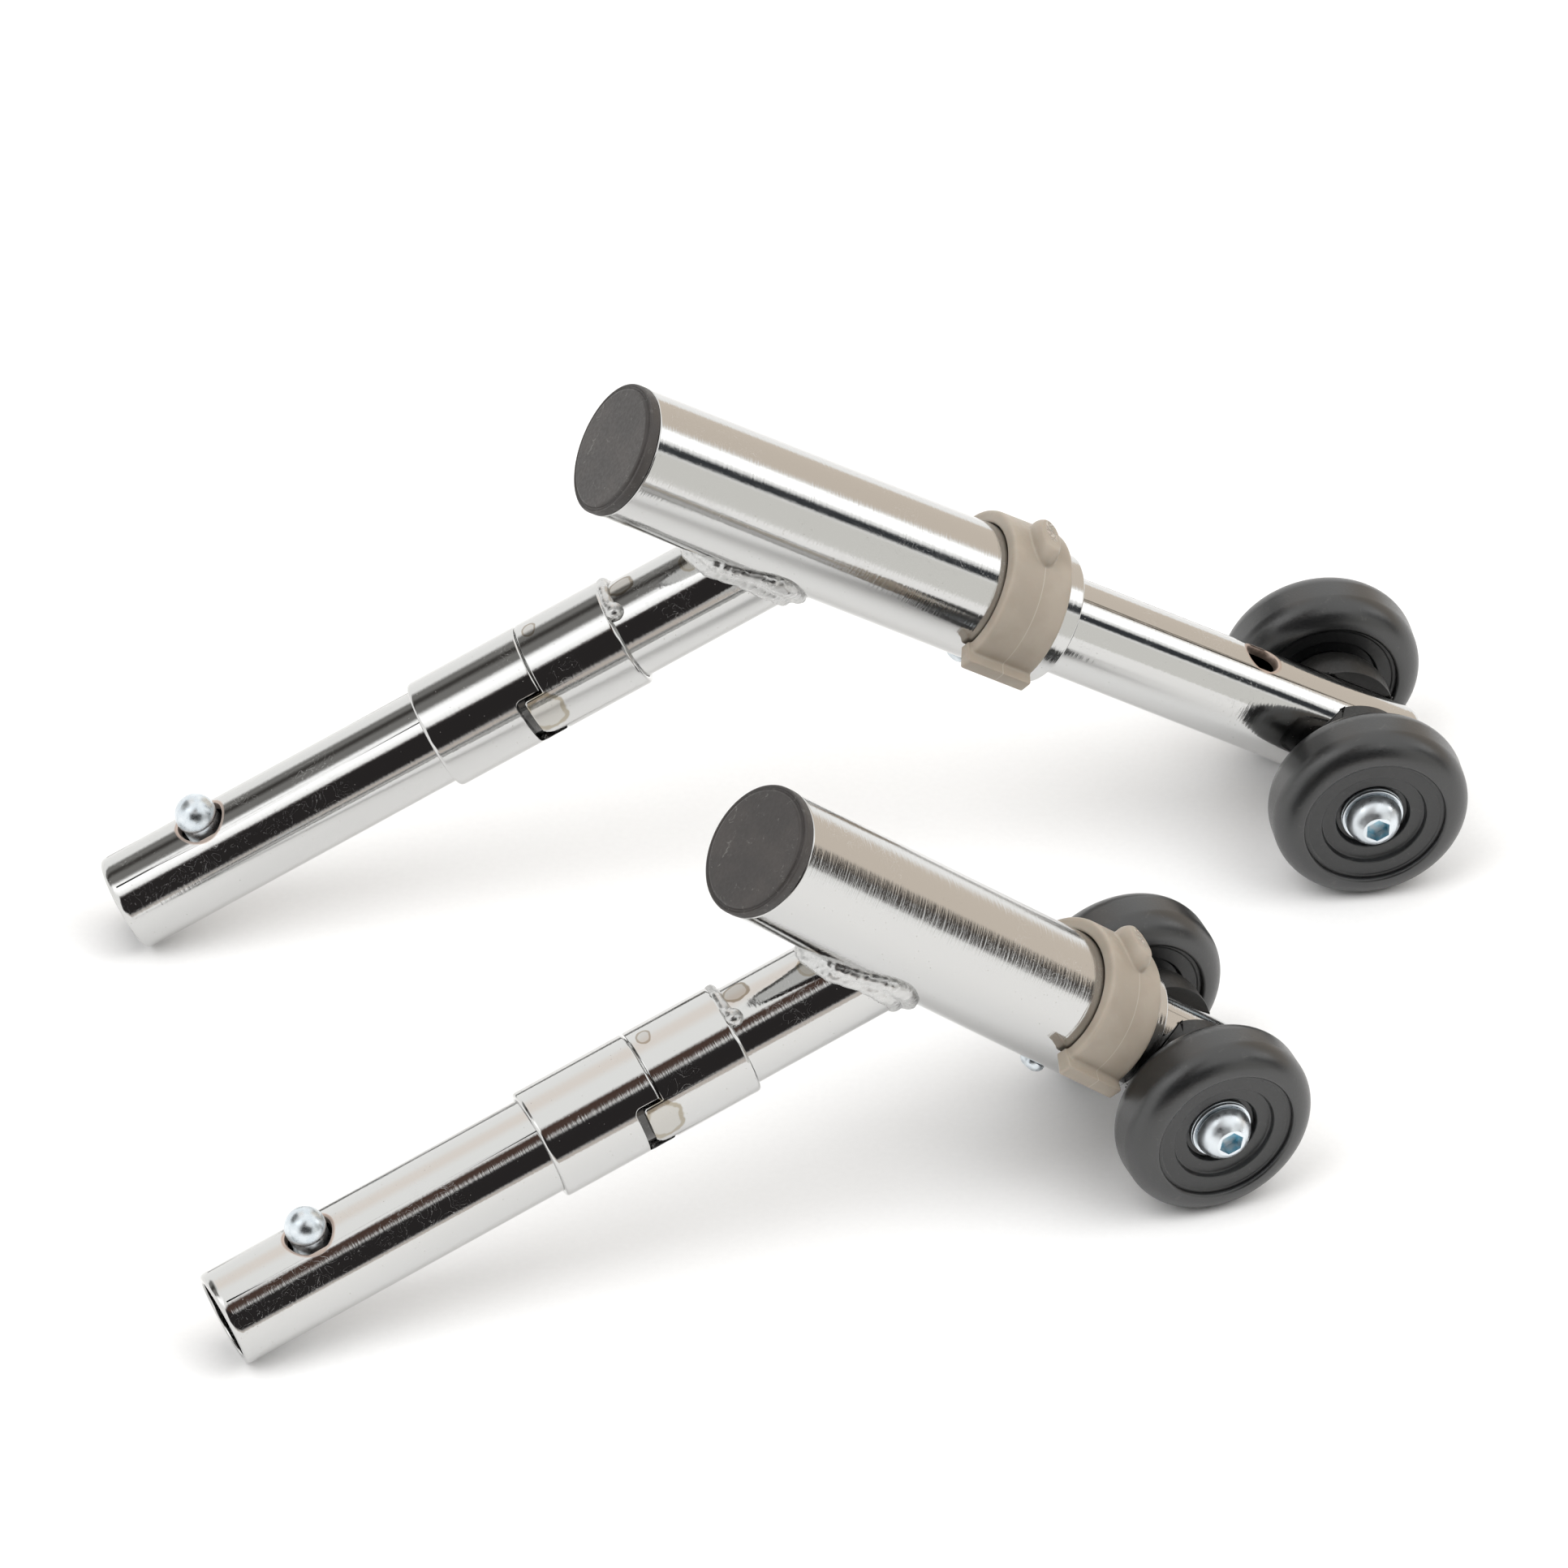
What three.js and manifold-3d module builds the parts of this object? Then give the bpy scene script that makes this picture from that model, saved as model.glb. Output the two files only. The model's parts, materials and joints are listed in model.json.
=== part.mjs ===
// A pair of anti-tippers for a wheelchair. Each one plugs into a frame tube with a sprung button, pulls out
// and turns in an indexed joint, and stands on two small wheels at the end of a leg of two heights.
// Millimetres, +Z up. The pair stands on its wheels and on the free ends of its spigots.
import * as THREE from 'three';
import { mergeVertices } from 'three/addons/utils/BufferGeometryUtils.js';
import Module from 'manifold-3d';

const wasm = await Module();
wasm.setup();

// Driving dimensions
const GAP = 0.3; // clearance between pieces that touch
const TUBE_R = 11.1; // spigot, stub and leg tube, 22.2 mm outside
const TUBE_WALL = 2;
const SLEEVE_R = 12.7; // the two sleeves of the turning joint, 25.4 mm outside
const OUTER_R = 15; // fat tube, 30 mm outside
const OUTER_WALL = 1.5;
const TUBES_ANGLE = THREE.MathUtils.degToRad(60.5); // between spigot and leg
const HEIGHT_STEP = 65; // distance between the two height holes
const WHEEL_R = 22.1;
const WHEEL_HALF_WIDTH = 7.8;
const WHEEL_OFFSET = 24.5; // middle of a wheel from the middle of the unit
const TREAD_ROUND = 5.2;
const HUB_R = 16.2;

// Along the spigot, from its free end
const BUTTON_X = 24.9;
const BUTTON_R = 4.65;
const BUTTON_RISE = 6.3; // top of the dome above the tube
const FIXED_SLEEVE = [78.9, 105.9];
const INDEXED_SLEEVE = [106.3, 127.3];
const SPIGOT_END = 88;
const STUB_START = 89;
const CROSSING = 175.3; // where the spigot's axis meets the leg's axis
const END_ROUND = 1.5;
const TAB = { length: 4.8, low: -6.9, high: 5.2, round: 2.6 };
const NOTCH = { depth: 6.3, low: -8.8, high: 6, round: 0.8 };
const STOP_RING_LENGTH = 4;

// The pull-and-turn joint inside the spigot and the stub
const ROD = { start: 50, radius: 3, headLength: 4.5 };
const NUT = { start: 50.5, length: 4, radius: 5.7, flangeLength: 1.5, flangeRadius: 7.6 };
const COIL = { start: 56.8, radius: 5.4, wire: 0.75, turns: 4.5 };

// The snap button's leaf spring, from the button's axis
const LEAF = { tip: -7, knee: 6, bend: 17.4, end: -9, top: 1.75, bottom: -7.25, width: 7, thickness: 0.7 };

// Along the leg, from the crossing
const CAP_FACE = -54.8;
const CAP_FLANGE = 2.7;
const CAP_PLUG = 12;
const OUTER_END = 62.3;
const CLIP = [41, 57];
const CLIP_R = 18.2;
const CLIP_ENDS = [-112, 116]; // degrees from the top
const LIP = { start: 107, rise: 3 };
const BOSS = { halfX: 2.8, halfY: 6, height: 3.4 };
const PEG_X = (CLIP[0] + CLIP[1]) / 2;
const HOLE_R = 3.95;
const RIVET_X = 49; // right under the clip's peg
const RIVET = { shank: 2, radius: 3.1, height: 2.1 };
const BUSH = [22, 61];
const AXLE_LOW = 143.3; // crossing to axle with the leg out
const AXLE_TO_HOLE = AXLE_LOW - PEG_X - HEIGHT_STEP;
const LEG_BEYOND_AXLE = 13.5;
const LEG_LENGTH = 125;

// Across the leg, from the middle of the unit
const BARREL_R = 5;
const BARREL_END = 27.8;
const BARREL_BORE = 3;
const SPACER_R = 12.8;
const SPACER_START = 6;
const SPACER_END = 18.8;
const SPACER_ROUND = { start: 11.5, radius: 9 };
const HUB_STEPS = { rim: 6.6, ring: 5.4, ringR: 12, web: 3.3, webR: 8 };
const WASHER_R = 7.35;
const WASHER_THICKNESS = 1.4;
const SCREW = { shank: 2.8, length: 12, headR: 5.95, edge: 1.4, crown: 2.9, height: 5.3 };
const SOCKET = { radius: 2.9, floor: 2.4 };

// Welds
const SADDLE_WELD = { lumps: 20, radius: 3.4, out: 0.6 };
const SLEEVE_WELD = { lumps: 7, radius: 2.3, start: -70, step: 16 };

// Materials
const finish = (color, metalness, roughness) =>
  new THREE.MeshStandardMaterial({ color, metalness, roughness });
const chrome = finish(0xe2e1df, 1, 0.08);
const zinc = finish(0xc9ced2, 1, 0.28);
const steel = finish(0x9a9a98, 1, 0.4);
const greyPlastic = finish(0x4b4946, 0, 0.55);
const clipNylon = finish(0xbeb4a8, 0, 0.5);
const bushNylon = finish(0x2e2e2e, 0, 0.5);
const spacerPlastic = finish(0x2b2a29, 0, 0.5);
const hubPlastic = finish(0x393837, 0, 0.5);
const tyreRubber = finish(0x3c3a39, 0, 0.62);

// A closed geometry as a solid that can be joined and cut
function solid(geometry) {
  geometry.deleteAttribute('normal');
  geometry.deleteAttribute('uv');
  const merged = mergeVertices(geometry, 1e-4);
  const index = merged.index.array;
  const triangles = [];
  for (let i = 0; i < index.length; i += 3) {
    const [a, b, c] = index.subarray(i, i + 3);
    if (a !== b && b !== c && c !== a) triangles.push(a, b, c);
  }
  return new wasm.Manifold(new wasm.Mesh({
    numProp: 3,
    vertProperties: new Float32Array(merged.attributes.position.array),
    triVerts: new Uint32Array(triangles),
  }));
}

function piece(name, shape, material) {
  const { vertProperties, triVerts } = shape.getMesh();
  const geometry = new THREE.BufferGeometry();
  geometry.setAttribute('position', new THREE.BufferAttribute(vertProperties, 3));
  geometry.setIndex(new THREE.BufferAttribute(triVerts, 1));
  geometry.computeVertexNormals();
  const mesh = new THREE.Mesh(geometry, material);
  mesh.name = name;
  return mesh;
}

// A shape turned about X. The profile is a list of [x, radius], out along the outside, back along the bore.
function turned(profile, segments = 24) {
  const points = profile.map(([x, radius]) => new THREE.Vector2(radius, x));
  return solid(new THREE.LatheGeometry(points, segments).rotateZ(-Math.PI / 2));
}

function tube(x0, x1, outer, inner, segments) {
  return turned([[x0, inner], [x0, outer], [x1, outer], [x1, inner], [x0, inner]], segments);
}

function rod(x0, x1, radius, segments = 24) {
  return turned([[x0, 0], [x0, radius], [x1, radius], [x1, 0]], segments);
}

// A round bar upright at x, from z0 to z1
function upright(x, radius, z0, z1, segments = 14) {
  const bar = new THREE.CylinderGeometry(radius, radius, z1 - z0, segments).rotateX(Math.PI / 2);
  return solid(bar.translate(x, 0, (z0 + z1) / 2));
}

// A round bar across the tubes at x, the same length on both sides
function crossBar(x, radius, halfLength, segments = 16) {
  return solid(new THREE.CylinderGeometry(radius, radius, 2 * halfLength, segments).translate(x, 0, 0));
}

// Arc points [x, radius] of a quarter ellipse round a centre, from one angle to another
function arc(x, radius, halfX, halfR, from, to, steps) {
  return Array.from({ length: steps + 1 }, (_, i) => {
    const angle = THREE.MathUtils.degToRad(from + ((to - from) * i) / steps);
    return [x + halfX * Math.cos(angle), radius + halfR * Math.sin(angle)];
  });
}

// A block punched sideways through the near wall of a sleeve: x0 is its round-cornered end
function sidePunch(x0, x1, { low, high, round }) {
  const outline = new THREE.Shape();
  outline.moveTo(x1, low);
  outline.lineTo(x1, high);
  outline.lineTo(x0 + round / 2, high);
  outline.quadraticCurveTo(x0, high, x0, high - round / 2);
  outline.lineTo(x0, low + round);
  outline.quadraticCurveTo(x0, low, x0 + round, low);
  outline.closePath();
  const block = new THREE.ExtrudeGeometry(outline, { depth: 20, bevelEnabled: false, curveSegments: 4 });
  return block.rotateX(Math.PI / 2);
}

// The part of a ring between two angles, counted from the top towards the near side
function ringPart(x0, x1, inner, outer, from, to) {
  const start = THREE.MathUtils.degToRad(90 + from);
  const end = THREE.MathUtils.degToRad(90 + to);
  const outline = new THREE.Shape();
  outline.absarc(0, 0, outer, start, end, false);
  outline.absarc(0, 0, inner, end, start, true);
  outline.closePath();
  const curveSegments = Math.ceil((to - from) / 22.5);
  const part = new THREE.ExtrudeGeometry(outline, { depth: x1 - x0, bevelEnabled: false, curveSegments });
  return solid(part.rotateX(Math.PI / 2).rotateZ(Math.PI / 2).translate(x0, 0, 0));
}

// A row of lumps joined into one weld bead
function bead(points, radius) {
  const lumps = points.map((p, i) =>
    solid(new THREE.IcosahedronGeometry(radius * (i % 2 ? 0.9 : 1), 0).translate(p.x, p.y, p.z)));
  return lumps.reduce((all, lump) => all.add(lump));
}

class Coil extends THREE.Curve {
  constructor(x0, x1, radius, turns) {
    super();
    Object.assign(this, { x0, x1, radius, turns });
  }

  getPoint(t, target = new THREE.Vector3()) {
    const angle = 2 * Math.PI * this.turns * t;
    const x = this.x0 + (this.x1 - this.x0) * t;
    return target.set(x, this.radius * Math.cos(angle), this.radius * Math.sin(angle));
  }
}

// Spigot tube: rounded free end, and the hole of the button
function spigotTube() {
  const bore = TUBE_R - TUBE_WALL;
  const nose = arc(END_ROUND, TUBE_R - END_ROUND, END_ROUND, END_ROUND, 180, 90, 2);
  const body = turned([[0, bore], ...nose, [SPIGOT_END, TUBE_R], [SPIGOT_END, bore], [0, bore]]);
  return body.subtract(upright(BUTTON_X, BUTTON_R + 0.6, 0, TUBE_R + 5, 18));
}

// Snap button: a domed pin with a foot inside the tube
function snapButton() {
  const domeCentre = TUBE_R + BUTTON_RISE - BUTTON_R;
  const dome = arc(domeCentre, 0, BUTTON_R, BUTTON_R, 90, 0, 4);
  dome[dome.length - 1][1] = 0;
  const foot = 3.2;
  const footTop = foot + 1.4;
  const footR = BUTTON_R + 1;
  const profile = [[foot, 0], [foot, footR], [footTop, footR], [footTop, BUTTON_R], ...dome];
  const points = profile.map(([x, radius]) => new THREE.Vector2(radius, x));
  return solid(new THREE.LatheGeometry(points, 18).rotateX(Math.PI / 2).translate(BUTTON_X, 0, 0));
}

// One side of a strip of sheet, half its thickness from the middle line that it is bent along
function stripSide(line, offset) {
  return line.map((point, i) => {
    const before = line[Math.max(i - 1, 0)];
    const after = line[Math.min(i + 1, line.length - 1)];
    const along = after.clone().sub(before).normalize();
    return new THREE.Vector2(point.x - offset * along.y, point.y + offset * along.x);
  });
}

// Leaf spring bent to a V, with the button on its free leg
function buttonSpring() {
  const { tip, knee, bend, end, top, bottom, width, thickness } = LEAF;
  const line = [[tip, top], [knee, top], [bend, bottom + 1.8], [bend - 1.8, bottom], [end, bottom]]
    .map(([x, z]) => new THREE.Vector2(BUTTON_X + x, z));
  const outline = [...stripSide(line, thickness / 2), ...stripSide(line, -thickness / 2).reverse()];
  const strip = new THREE.ExtrudeGeometry(new THREE.Shape(outline), { depth: width, bevelEnabled: false });
  return solid(strip.rotateX(Math.PI / 2).translate(0, width / 2, 0));
}

function fixedSleeve() {
  const notch = sidePunch(FIXED_SLEEVE[1] - NOTCH.depth, FIXED_SLEEVE[1] + 1, NOTCH);
  const farNotch = notch.clone().rotateX(Math.PI);
  return tube(...FIXED_SLEEVE, SLEEVE_R, TUBE_R + GAP).subtract(solid(notch)).subtract(solid(farNotch));
}

function indexedSleeve() {
  const tabStart = INDEXED_SLEEVE[0] - TAB.length;
  const tab = tube(tabStart, INDEXED_SLEEVE[0] + 1, SLEEVE_R, TUBE_R + GAP)
    .intersect(solid(sidePunch(tabStart, INDEXED_SLEEVE[0] + 1, TAB)));
  return tube(...INDEXED_SLEEVE, SLEEVE_R, TUBE_R + GAP).add(tab);
}

// The leg's axis as a solid bar in the spigot's own frame, to cut the saddle with
function legBar(radius) {
  const bar = new THREE.CylinderGeometry(radius, radius, 140, 24).rotateZ(Math.PI / 2);
  return solid(bar.rotateY(TUBES_ANGLE).translate(CROSSING, 0, 0));
}

function stubTube() {
  return tube(STUB_START, CROSSING, TUBE_R, TUBE_R - TUBE_WALL).subtract(legBar(OUTER_R + GAP));
}

// Points round the stub where it meets the fat tube
function saddleCurve(count) {
  const sin = Math.sin(TUBES_ANGLE);
  return Array.from({ length: count }, (_, i) => {
    const turn = (2 * Math.PI * i) / count;
    const y = (TUBE_R + SADDLE_WELD.out) * Math.sin(turn);
    const z = (TUBE_R + SADDLE_WELD.out) * Math.cos(turn);
    const depth = Math.sqrt((OUTER_R + SADDLE_WELD.out) ** 2 - y * y);
    return new THREE.Vector3(CROSSING - depth / sin - z * (Math.cos(TUBES_ANGLE) / sin), y, z);
  });
}

function saddleWeld() {
  const { lumps, radius } = SADDLE_WELD;
  return bead(saddleCurve(lumps), radius).subtract(legBar(OUTER_R + GAP))
    .subtract(rod(STUB_START, CROSSING + OUTER_R, TUBE_R + GAP));
}

function sleeveWeld() {
  const { lumps, radius, start, step } = SLEEVE_WELD;
  const [sleeveStart, sleeveEnd] = INDEXED_SLEEVE;
  const points = Array.from({ length: lumps }, (_, i) => {
    const turn = THREE.MathUtils.degToRad(start + i * step);
    const out = TUBE_R + 0.5;
    return new THREE.Vector3(sleeveEnd + 1, -out * Math.sin(turn), out * Math.cos(turn));
  });
  return bead(points, radius).subtract(rod(sleeveStart, CROSSING, TUBE_R + GAP))
    .subtract(rod(sleeveStart, sleeveEnd + GAP, SLEEVE_R + 1));
}

function stopRing() {
  return tube(SPIGOT_END - STOP_RING_LENGTH, SPIGOT_END, TUBE_R - TUBE_WALL - GAP, ROD.radius + 0.5);
}

// Rod of the pull-and-turn joint: its head sits in the stub, its thread in the spigot
function swivelRod() {
  const head = STUB_START + 0.5;
  const headEnd = head + ROD.headLength;
  const headR = TUBE_R - TUBE_WALL - GAP;
  return turned([[ROD.start, 0], [ROD.start, ROD.radius], [head, ROD.radius], [head, headR], [headEnd, headR],
    [headEnd, 0]], 20);
}

function rodNut() {
  const flange = NUT.start + NUT.length - GAP;
  const end = flange + NUT.flangeLength;
  const hexagon = rod(NUT.start, NUT.start + NUT.length, NUT.radius, 6);
  const flangeDisc = rod(flange, end, NUT.flangeRadius, 16);
  return hexagon.add(flangeDisc).subtract(rod(ROD.start, end + 1, ROD.radius + GAP, 12));
}

function returnSpring() {
  const wire = new THREE.Shape();
  wire.absarc(0, 0, COIL.wire, 0, 2 * Math.PI, false);
  const end = SPIGOT_END - STOP_RING_LENGTH - COIL.wire - GAP;
  const path = new Coil(COIL.start, end, COIL.radius, COIL.turns);
  return solid(new THREE.ExtrudeGeometry(wire, { steps: 40, extrudePath: path, curveSegments: 3 }));
}

// A tube with the peg's hole on top and the rivet's hole underneath
function pegAndRivetHoles(shape) {
  return shape.subtract(upright(PEG_X, HOLE_R + 0.2, 0, OUTER_R + 5))
    .subtract(upright(RIVET_X, RIVET.shank + GAP, -OUTER_R - 5, 0, 12));
}

function outerTube() {
  return pegAndRivetHoles(tube(CAP_FACE + CAP_FLANGE + GAP, OUTER_END, OUTER_R, OUTER_R - OUTER_WALL));
}

// End cap: a flange with a stepped face, and a hollow plug in the tube
function endCap() {
  const flangeEnd = CAP_FACE + CAP_FLANGE;
  const plug = OUTER_R - OUTER_WALL - GAP;
  return turned([[CAP_FACE, 0], [CAP_FACE, OUTER_R - 1.3], [CAP_FACE + 0.7, OUTER_R - 0.7],
    [CAP_FACE + 0.9, OUTER_R], [flangeEnd, OUTER_R], [flangeEnd, plug], [flangeEnd + CAP_PLUG, plug - 0.6],
    [flangeEnd + CAP_PLUG, plug - 2.2], [flangeEnd, plug - 2], [flangeEnd, 0]]);
}

function guideBush() {
  return pegAndRivetHoles(tube(...BUSH, OUTER_R - OUTER_WALL - GAP, TUBE_R + GAP));
}

function bushRivet() {
  const shank = upright(RIVET_X, RIVET.shank, -OUTER_R - 1, -TUBE_R - 0.5, 12);
  const seat = OUTER_R + GAP;
  const head = arc(seat, 0, RIVET.height, RIVET.radius, 90, 0, 3);
  head[head.length - 1][1] = 0;
  const points = [[seat, 0], ...head].map(([x, radius]) => new THREE.Vector2(radius, x));
  const dome = new THREE.LatheGeometry(points, 16).rotateX(-Math.PI / 2).translate(RIVET_X, 0, 0);
  return shank.add(solid(dome));
}

// Snap-on clip: an open ring with a lip to lift it by, a boss on top, and a peg that enters the tube's hole
function heightClip() {
  const inner = OUTER_R + GAP;
  const ring = ringPart(...CLIP, inner, CLIP_R, ...CLIP_ENDS);
  const lip = ringPart(...CLIP, CLIP_R - 0.5, CLIP_R + LIP.rise, LIP.start, CLIP_ENDS[1]);
  const dome = new THREE.SphereGeometry(1, 12, 8).scale(BOSS.halfX, BOSS.halfY, BOSS.height);
  const boss = solid(dome.translate(PEG_X, 0, CLIP_R - 0.6)).subtract(rod(...CLIP, inner + 1));
  const peg = upright(PEG_X, HOLE_R - 0.25, OUTER_R - OUTER_WALL + 0.1, CLIP_R - 1, 16);
  return ring.add(lip).add(boss).add(peg);
}

// The sliding leg, placed by its axle
function legTube() {
  const end = LEG_BEYOND_AXLE;
  const nose = arc(end - END_ROUND, TUBE_R - END_ROUND, END_ROUND, END_ROUND, 90, 0, 2);
  const start = end - LEG_LENGTH;
  const bore = TUBE_R - TUBE_WALL;
  return turned([[start, bore], [start, TUBE_R], ...nose, [end, bore], [start, bore]])
    .subtract(upright(-AXLE_TO_HOLE, HOLE_R, 0, 2 * TUBE_R))
    .subtract(upright(-AXLE_TO_HOLE - HEIGHT_STEP, HOLE_R, 0, 2 * TUBE_R))
    .subtract(crossBar(0, BARREL_R + GAP, 2 * TUBE_R));
}

// Pieces on the axle are turned about X, with x the distance from the middle of the unit
function spacer() {
  const bore = BARREL_R + GAP;
  const { start, radius } = SPACER_ROUND;
  const dome = arc(start, radius, SPACER_END - start, SPACER_R - radius, 90, 0, 4);
  const full = turned([[SPACER_START, bore], [SPACER_START, SPACER_R], ...dome, [SPACER_END, bore],
    [SPACER_START, bore]], 20);
  return full.subtract(crossBar(0, TUBE_R + GAP, 2 * SPACER_R, 20));
}

// Profile points of both faces of a wheel piece, mirrored about the middle of the wheel
function bothFaces(half) {
  const mirrored = half.map(([x, radius]) => [-x, radius]).reverse();
  return [...mirrored, ...half].map(([x, radius]) => [x + WHEEL_OFFSET, radius]);
}

function hub() {
  const { rim, ring, ringR, web, webR } = HUB_STEPS;
  const steps = [[rim, HUB_R], [rim, ringR], [ring, ringR], [ring, webR], [web, webR], [web, BARREL_R + 0.1]];
  const profile = bothFaces(steps);
  return turned([...profile, profile[0]], 18);
}

function tyre() {
  const side = WHEEL_HALF_WIDTH;
  const edge = arc(side - TREAD_ROUND, WHEEL_R - TREAD_ROUND, TREAD_ROUND, TREAD_ROUND, 90, 0, 3);
  const profile = bothFaces([...edge, [side, HUB_R + GAP]]);
  return turned([...profile, profile[0]]);
}

function washer() {
  const start = BARREL_END + GAP;
  return tube(start, start + WASHER_THICKNESS, WASHER_R, BARREL_BORE + 0.2, 20);
}

// Button-head screw with a hex socket, threaded into the barrel
function screw() {
  const seat = BARREL_END + WASHER_THICKNESS + 2 * GAP;
  const { shank, length, headR, edge, crown, height } = SCREW;
  const dome = arc(seat + edge, crown, height - edge, headR - crown, 90, 0, 4);
  const body = turned([[seat - length, 0], [seat - length, shank], [seat, shank], [seat, headR], ...dome,
    [seat + height, 0]], 18);
  return body.subtract(rod(seat + SOCKET.floor, seat + height + 1, SOCKET.radius, 6));
}

function barrel() {
  const pin = new THREE.CylinderGeometry(BARREL_R, BARREL_R, 2 * BARREL_END, 18);
  const bore = new THREE.CylinderGeometry(BARREL_BORE, BARREL_BORE, 4 * BARREL_END, 12);
  return solid(pin).subtract(solid(bore));
}

// Wheel, spacer, washer and screw on one side of the leg
function axleSide(unit, side, turn) {
  const group = new THREE.Group();
  group.rotation.z = turn;
  group.add(piece(`${unit}_spacer_${side}`, spacer(), spacerPlastic));
  group.add(piece(`${unit}_wheel_hub_${side}`, hub(), hubPlastic));
  group.add(piece(`${unit}_tyre_${side}`, tyre(), tyreRubber));
  group.add(piece(`${unit}_washer_${side}`, washer(), zinc));
  group.add(piece(`${unit}_screw_${side}`, screw(), zinc));
  return group;
}

// One unit, standing on its wheels and on the free end of its spigot. The pitch follows from its own sizes.
function antiTipper(unit, axleX, x, y, yaw) {
  const run = CROSSING - END_ROUND + axleX * Math.cos(TUBES_ANGLE);
  const rise = TUBE_R - END_ROUND - axleX * Math.sin(TUBES_ANGLE);
  const pitch = Math.asin((WHEEL_R - END_ROUND) / Math.hypot(run, rise)) - Math.atan2(rise, run);

  const spigot = new THREE.Group();
  spigot.name = `${unit}_spigot_frame`;
  spigot.position.z = (TUBE_R - END_ROUND) * Math.cos(pitch) + END_ROUND * (1 - Math.sin(pitch));
  spigot.rotation.y = -pitch;
  spigot.add(piece(`${unit}_spigot_tube`, spigotTube(), chrome));
  spigot.add(piece(`${unit}_snap_button`, snapButton(), zinc));
  spigot.add(piece(`${unit}_button_spring`, buttonSpring(), steel));
  spigot.add(piece(`${unit}_fixed_sleeve`, fixedSleeve(), chrome));
  spigot.add(piece(`${unit}_stop_ring`, stopRing(), steel));
  spigot.add(piece(`${unit}_return_spring`, returnSpring(), steel));
  spigot.add(piece(`${unit}_swivel_rod`, swivelRod(), steel));
  spigot.add(piece(`${unit}_rod_nut`, rodNut(), steel));
  spigot.add(piece(`${unit}_indexed_sleeve`, indexedSleeve(), chrome));
  spigot.add(piece(`${unit}_stub_tube`, stubTube(), chrome));
  spigot.add(piece(`${unit}_sleeve_weld`, sleeveWeld(), chrome));
  spigot.add(piece(`${unit}_saddle_weld`, saddleWeld(), chrome));

  const leg = new THREE.Group();
  leg.name = `${unit}_leg_frame`;
  leg.position.x = CROSSING;
  leg.rotation.y = TUBES_ANGLE;
  leg.add(piece(`${unit}_outer_tube`, outerTube(), chrome));
  leg.add(piece(`${unit}_end_cap`, endCap(), greyPlastic));
  leg.add(piece(`${unit}_guide_bush`, guideBush(), bushNylon));
  leg.add(piece(`${unit}_bush_rivet`, bushRivet(), zinc));
  leg.add(piece(`${unit}_height_clip`, heightClip(), clipNylon));
  spigot.add(leg);

  const axle = new THREE.Group();
  axle.name = `${unit}_axle_frame`;
  axle.position.x = axleX;
  axle.add(piece(`${unit}_leg_tube`, legTube(), chrome));
  axle.add(piece(`${unit}_axle_barrel`, barrel(), steel));
  axle.add(axleSide(unit, 'near', -Math.PI / 2));
  axle.add(axleSide(unit, 'far', Math.PI / 2));
  leg.add(axle);

  const placed = new THREE.Group();
  placed.position.set(x, y, 0);
  placed.rotation.z = THREE.MathUtils.degToRad(yaw);
  placed.add(spigot);
  return placed;
}

const pair = new THREE.Group();
pair.add(antiTipper('A', AXLE_LOW, -144, -66, 13.85));
pair.add(antiTipper('B', AXLE_LOW - HEIGHT_STEP, -116, -210, 25.1));
const box = new THREE.Box3().setFromObject(pair, true);
pair.position.set(-(box.min.x + box.max.x) / 2, -(box.min.y + box.max.y) / 2, -box.min.z);

export default pair;
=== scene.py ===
import json
import math

import bmesh
import bpy
from mathutils import Matrix, Vector


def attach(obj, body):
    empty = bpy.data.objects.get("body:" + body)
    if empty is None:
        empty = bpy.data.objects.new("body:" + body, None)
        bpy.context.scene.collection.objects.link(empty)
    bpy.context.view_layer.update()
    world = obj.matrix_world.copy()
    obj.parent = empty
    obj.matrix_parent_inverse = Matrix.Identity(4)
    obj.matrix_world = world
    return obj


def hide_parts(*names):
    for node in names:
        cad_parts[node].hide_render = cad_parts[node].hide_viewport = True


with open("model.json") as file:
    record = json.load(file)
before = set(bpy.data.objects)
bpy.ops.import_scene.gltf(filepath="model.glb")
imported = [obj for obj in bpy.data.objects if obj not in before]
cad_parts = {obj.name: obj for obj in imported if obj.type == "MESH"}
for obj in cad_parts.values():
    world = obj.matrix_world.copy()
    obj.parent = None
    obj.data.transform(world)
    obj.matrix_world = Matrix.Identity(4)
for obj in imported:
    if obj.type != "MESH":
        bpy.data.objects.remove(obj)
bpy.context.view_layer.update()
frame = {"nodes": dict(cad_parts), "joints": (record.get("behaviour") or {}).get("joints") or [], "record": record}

# ---- The pair
# Two equal wheelchair anti-tippers stand on their wheels and on their spigots' free ends. Unit A has its leg
# out, unit B has it in. Each piece is made on the bench, in mm and at the origin, in one of a unit's frames.
# X runs along the spigot, along the leg from the crossing or the axle, or out along the axle on one side.
MM = 0.001
CROSSING = 175.3  # from the spigot's free end to where the two tubes' axes meet
AXLE_X = {"A": 143.3, "B": 78.3}  # from that crossing to each unit's axle
joints = {joint["name"]: joint for joint in frame["joints"]}
body_of = {node: body for body, nodes in frame["record"]["behaviour"]["bodies"].items() for node in nodes}


def frame_at(origin, along, across):
    """A frame with X along a tube, Y to the far side and Z up, as a matrix."""
    upward = along.cross(across)
    turn = Matrix((along, across, upward)).transposed()
    return Matrix.Translation(origin) @ turn.to_4x4()


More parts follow.
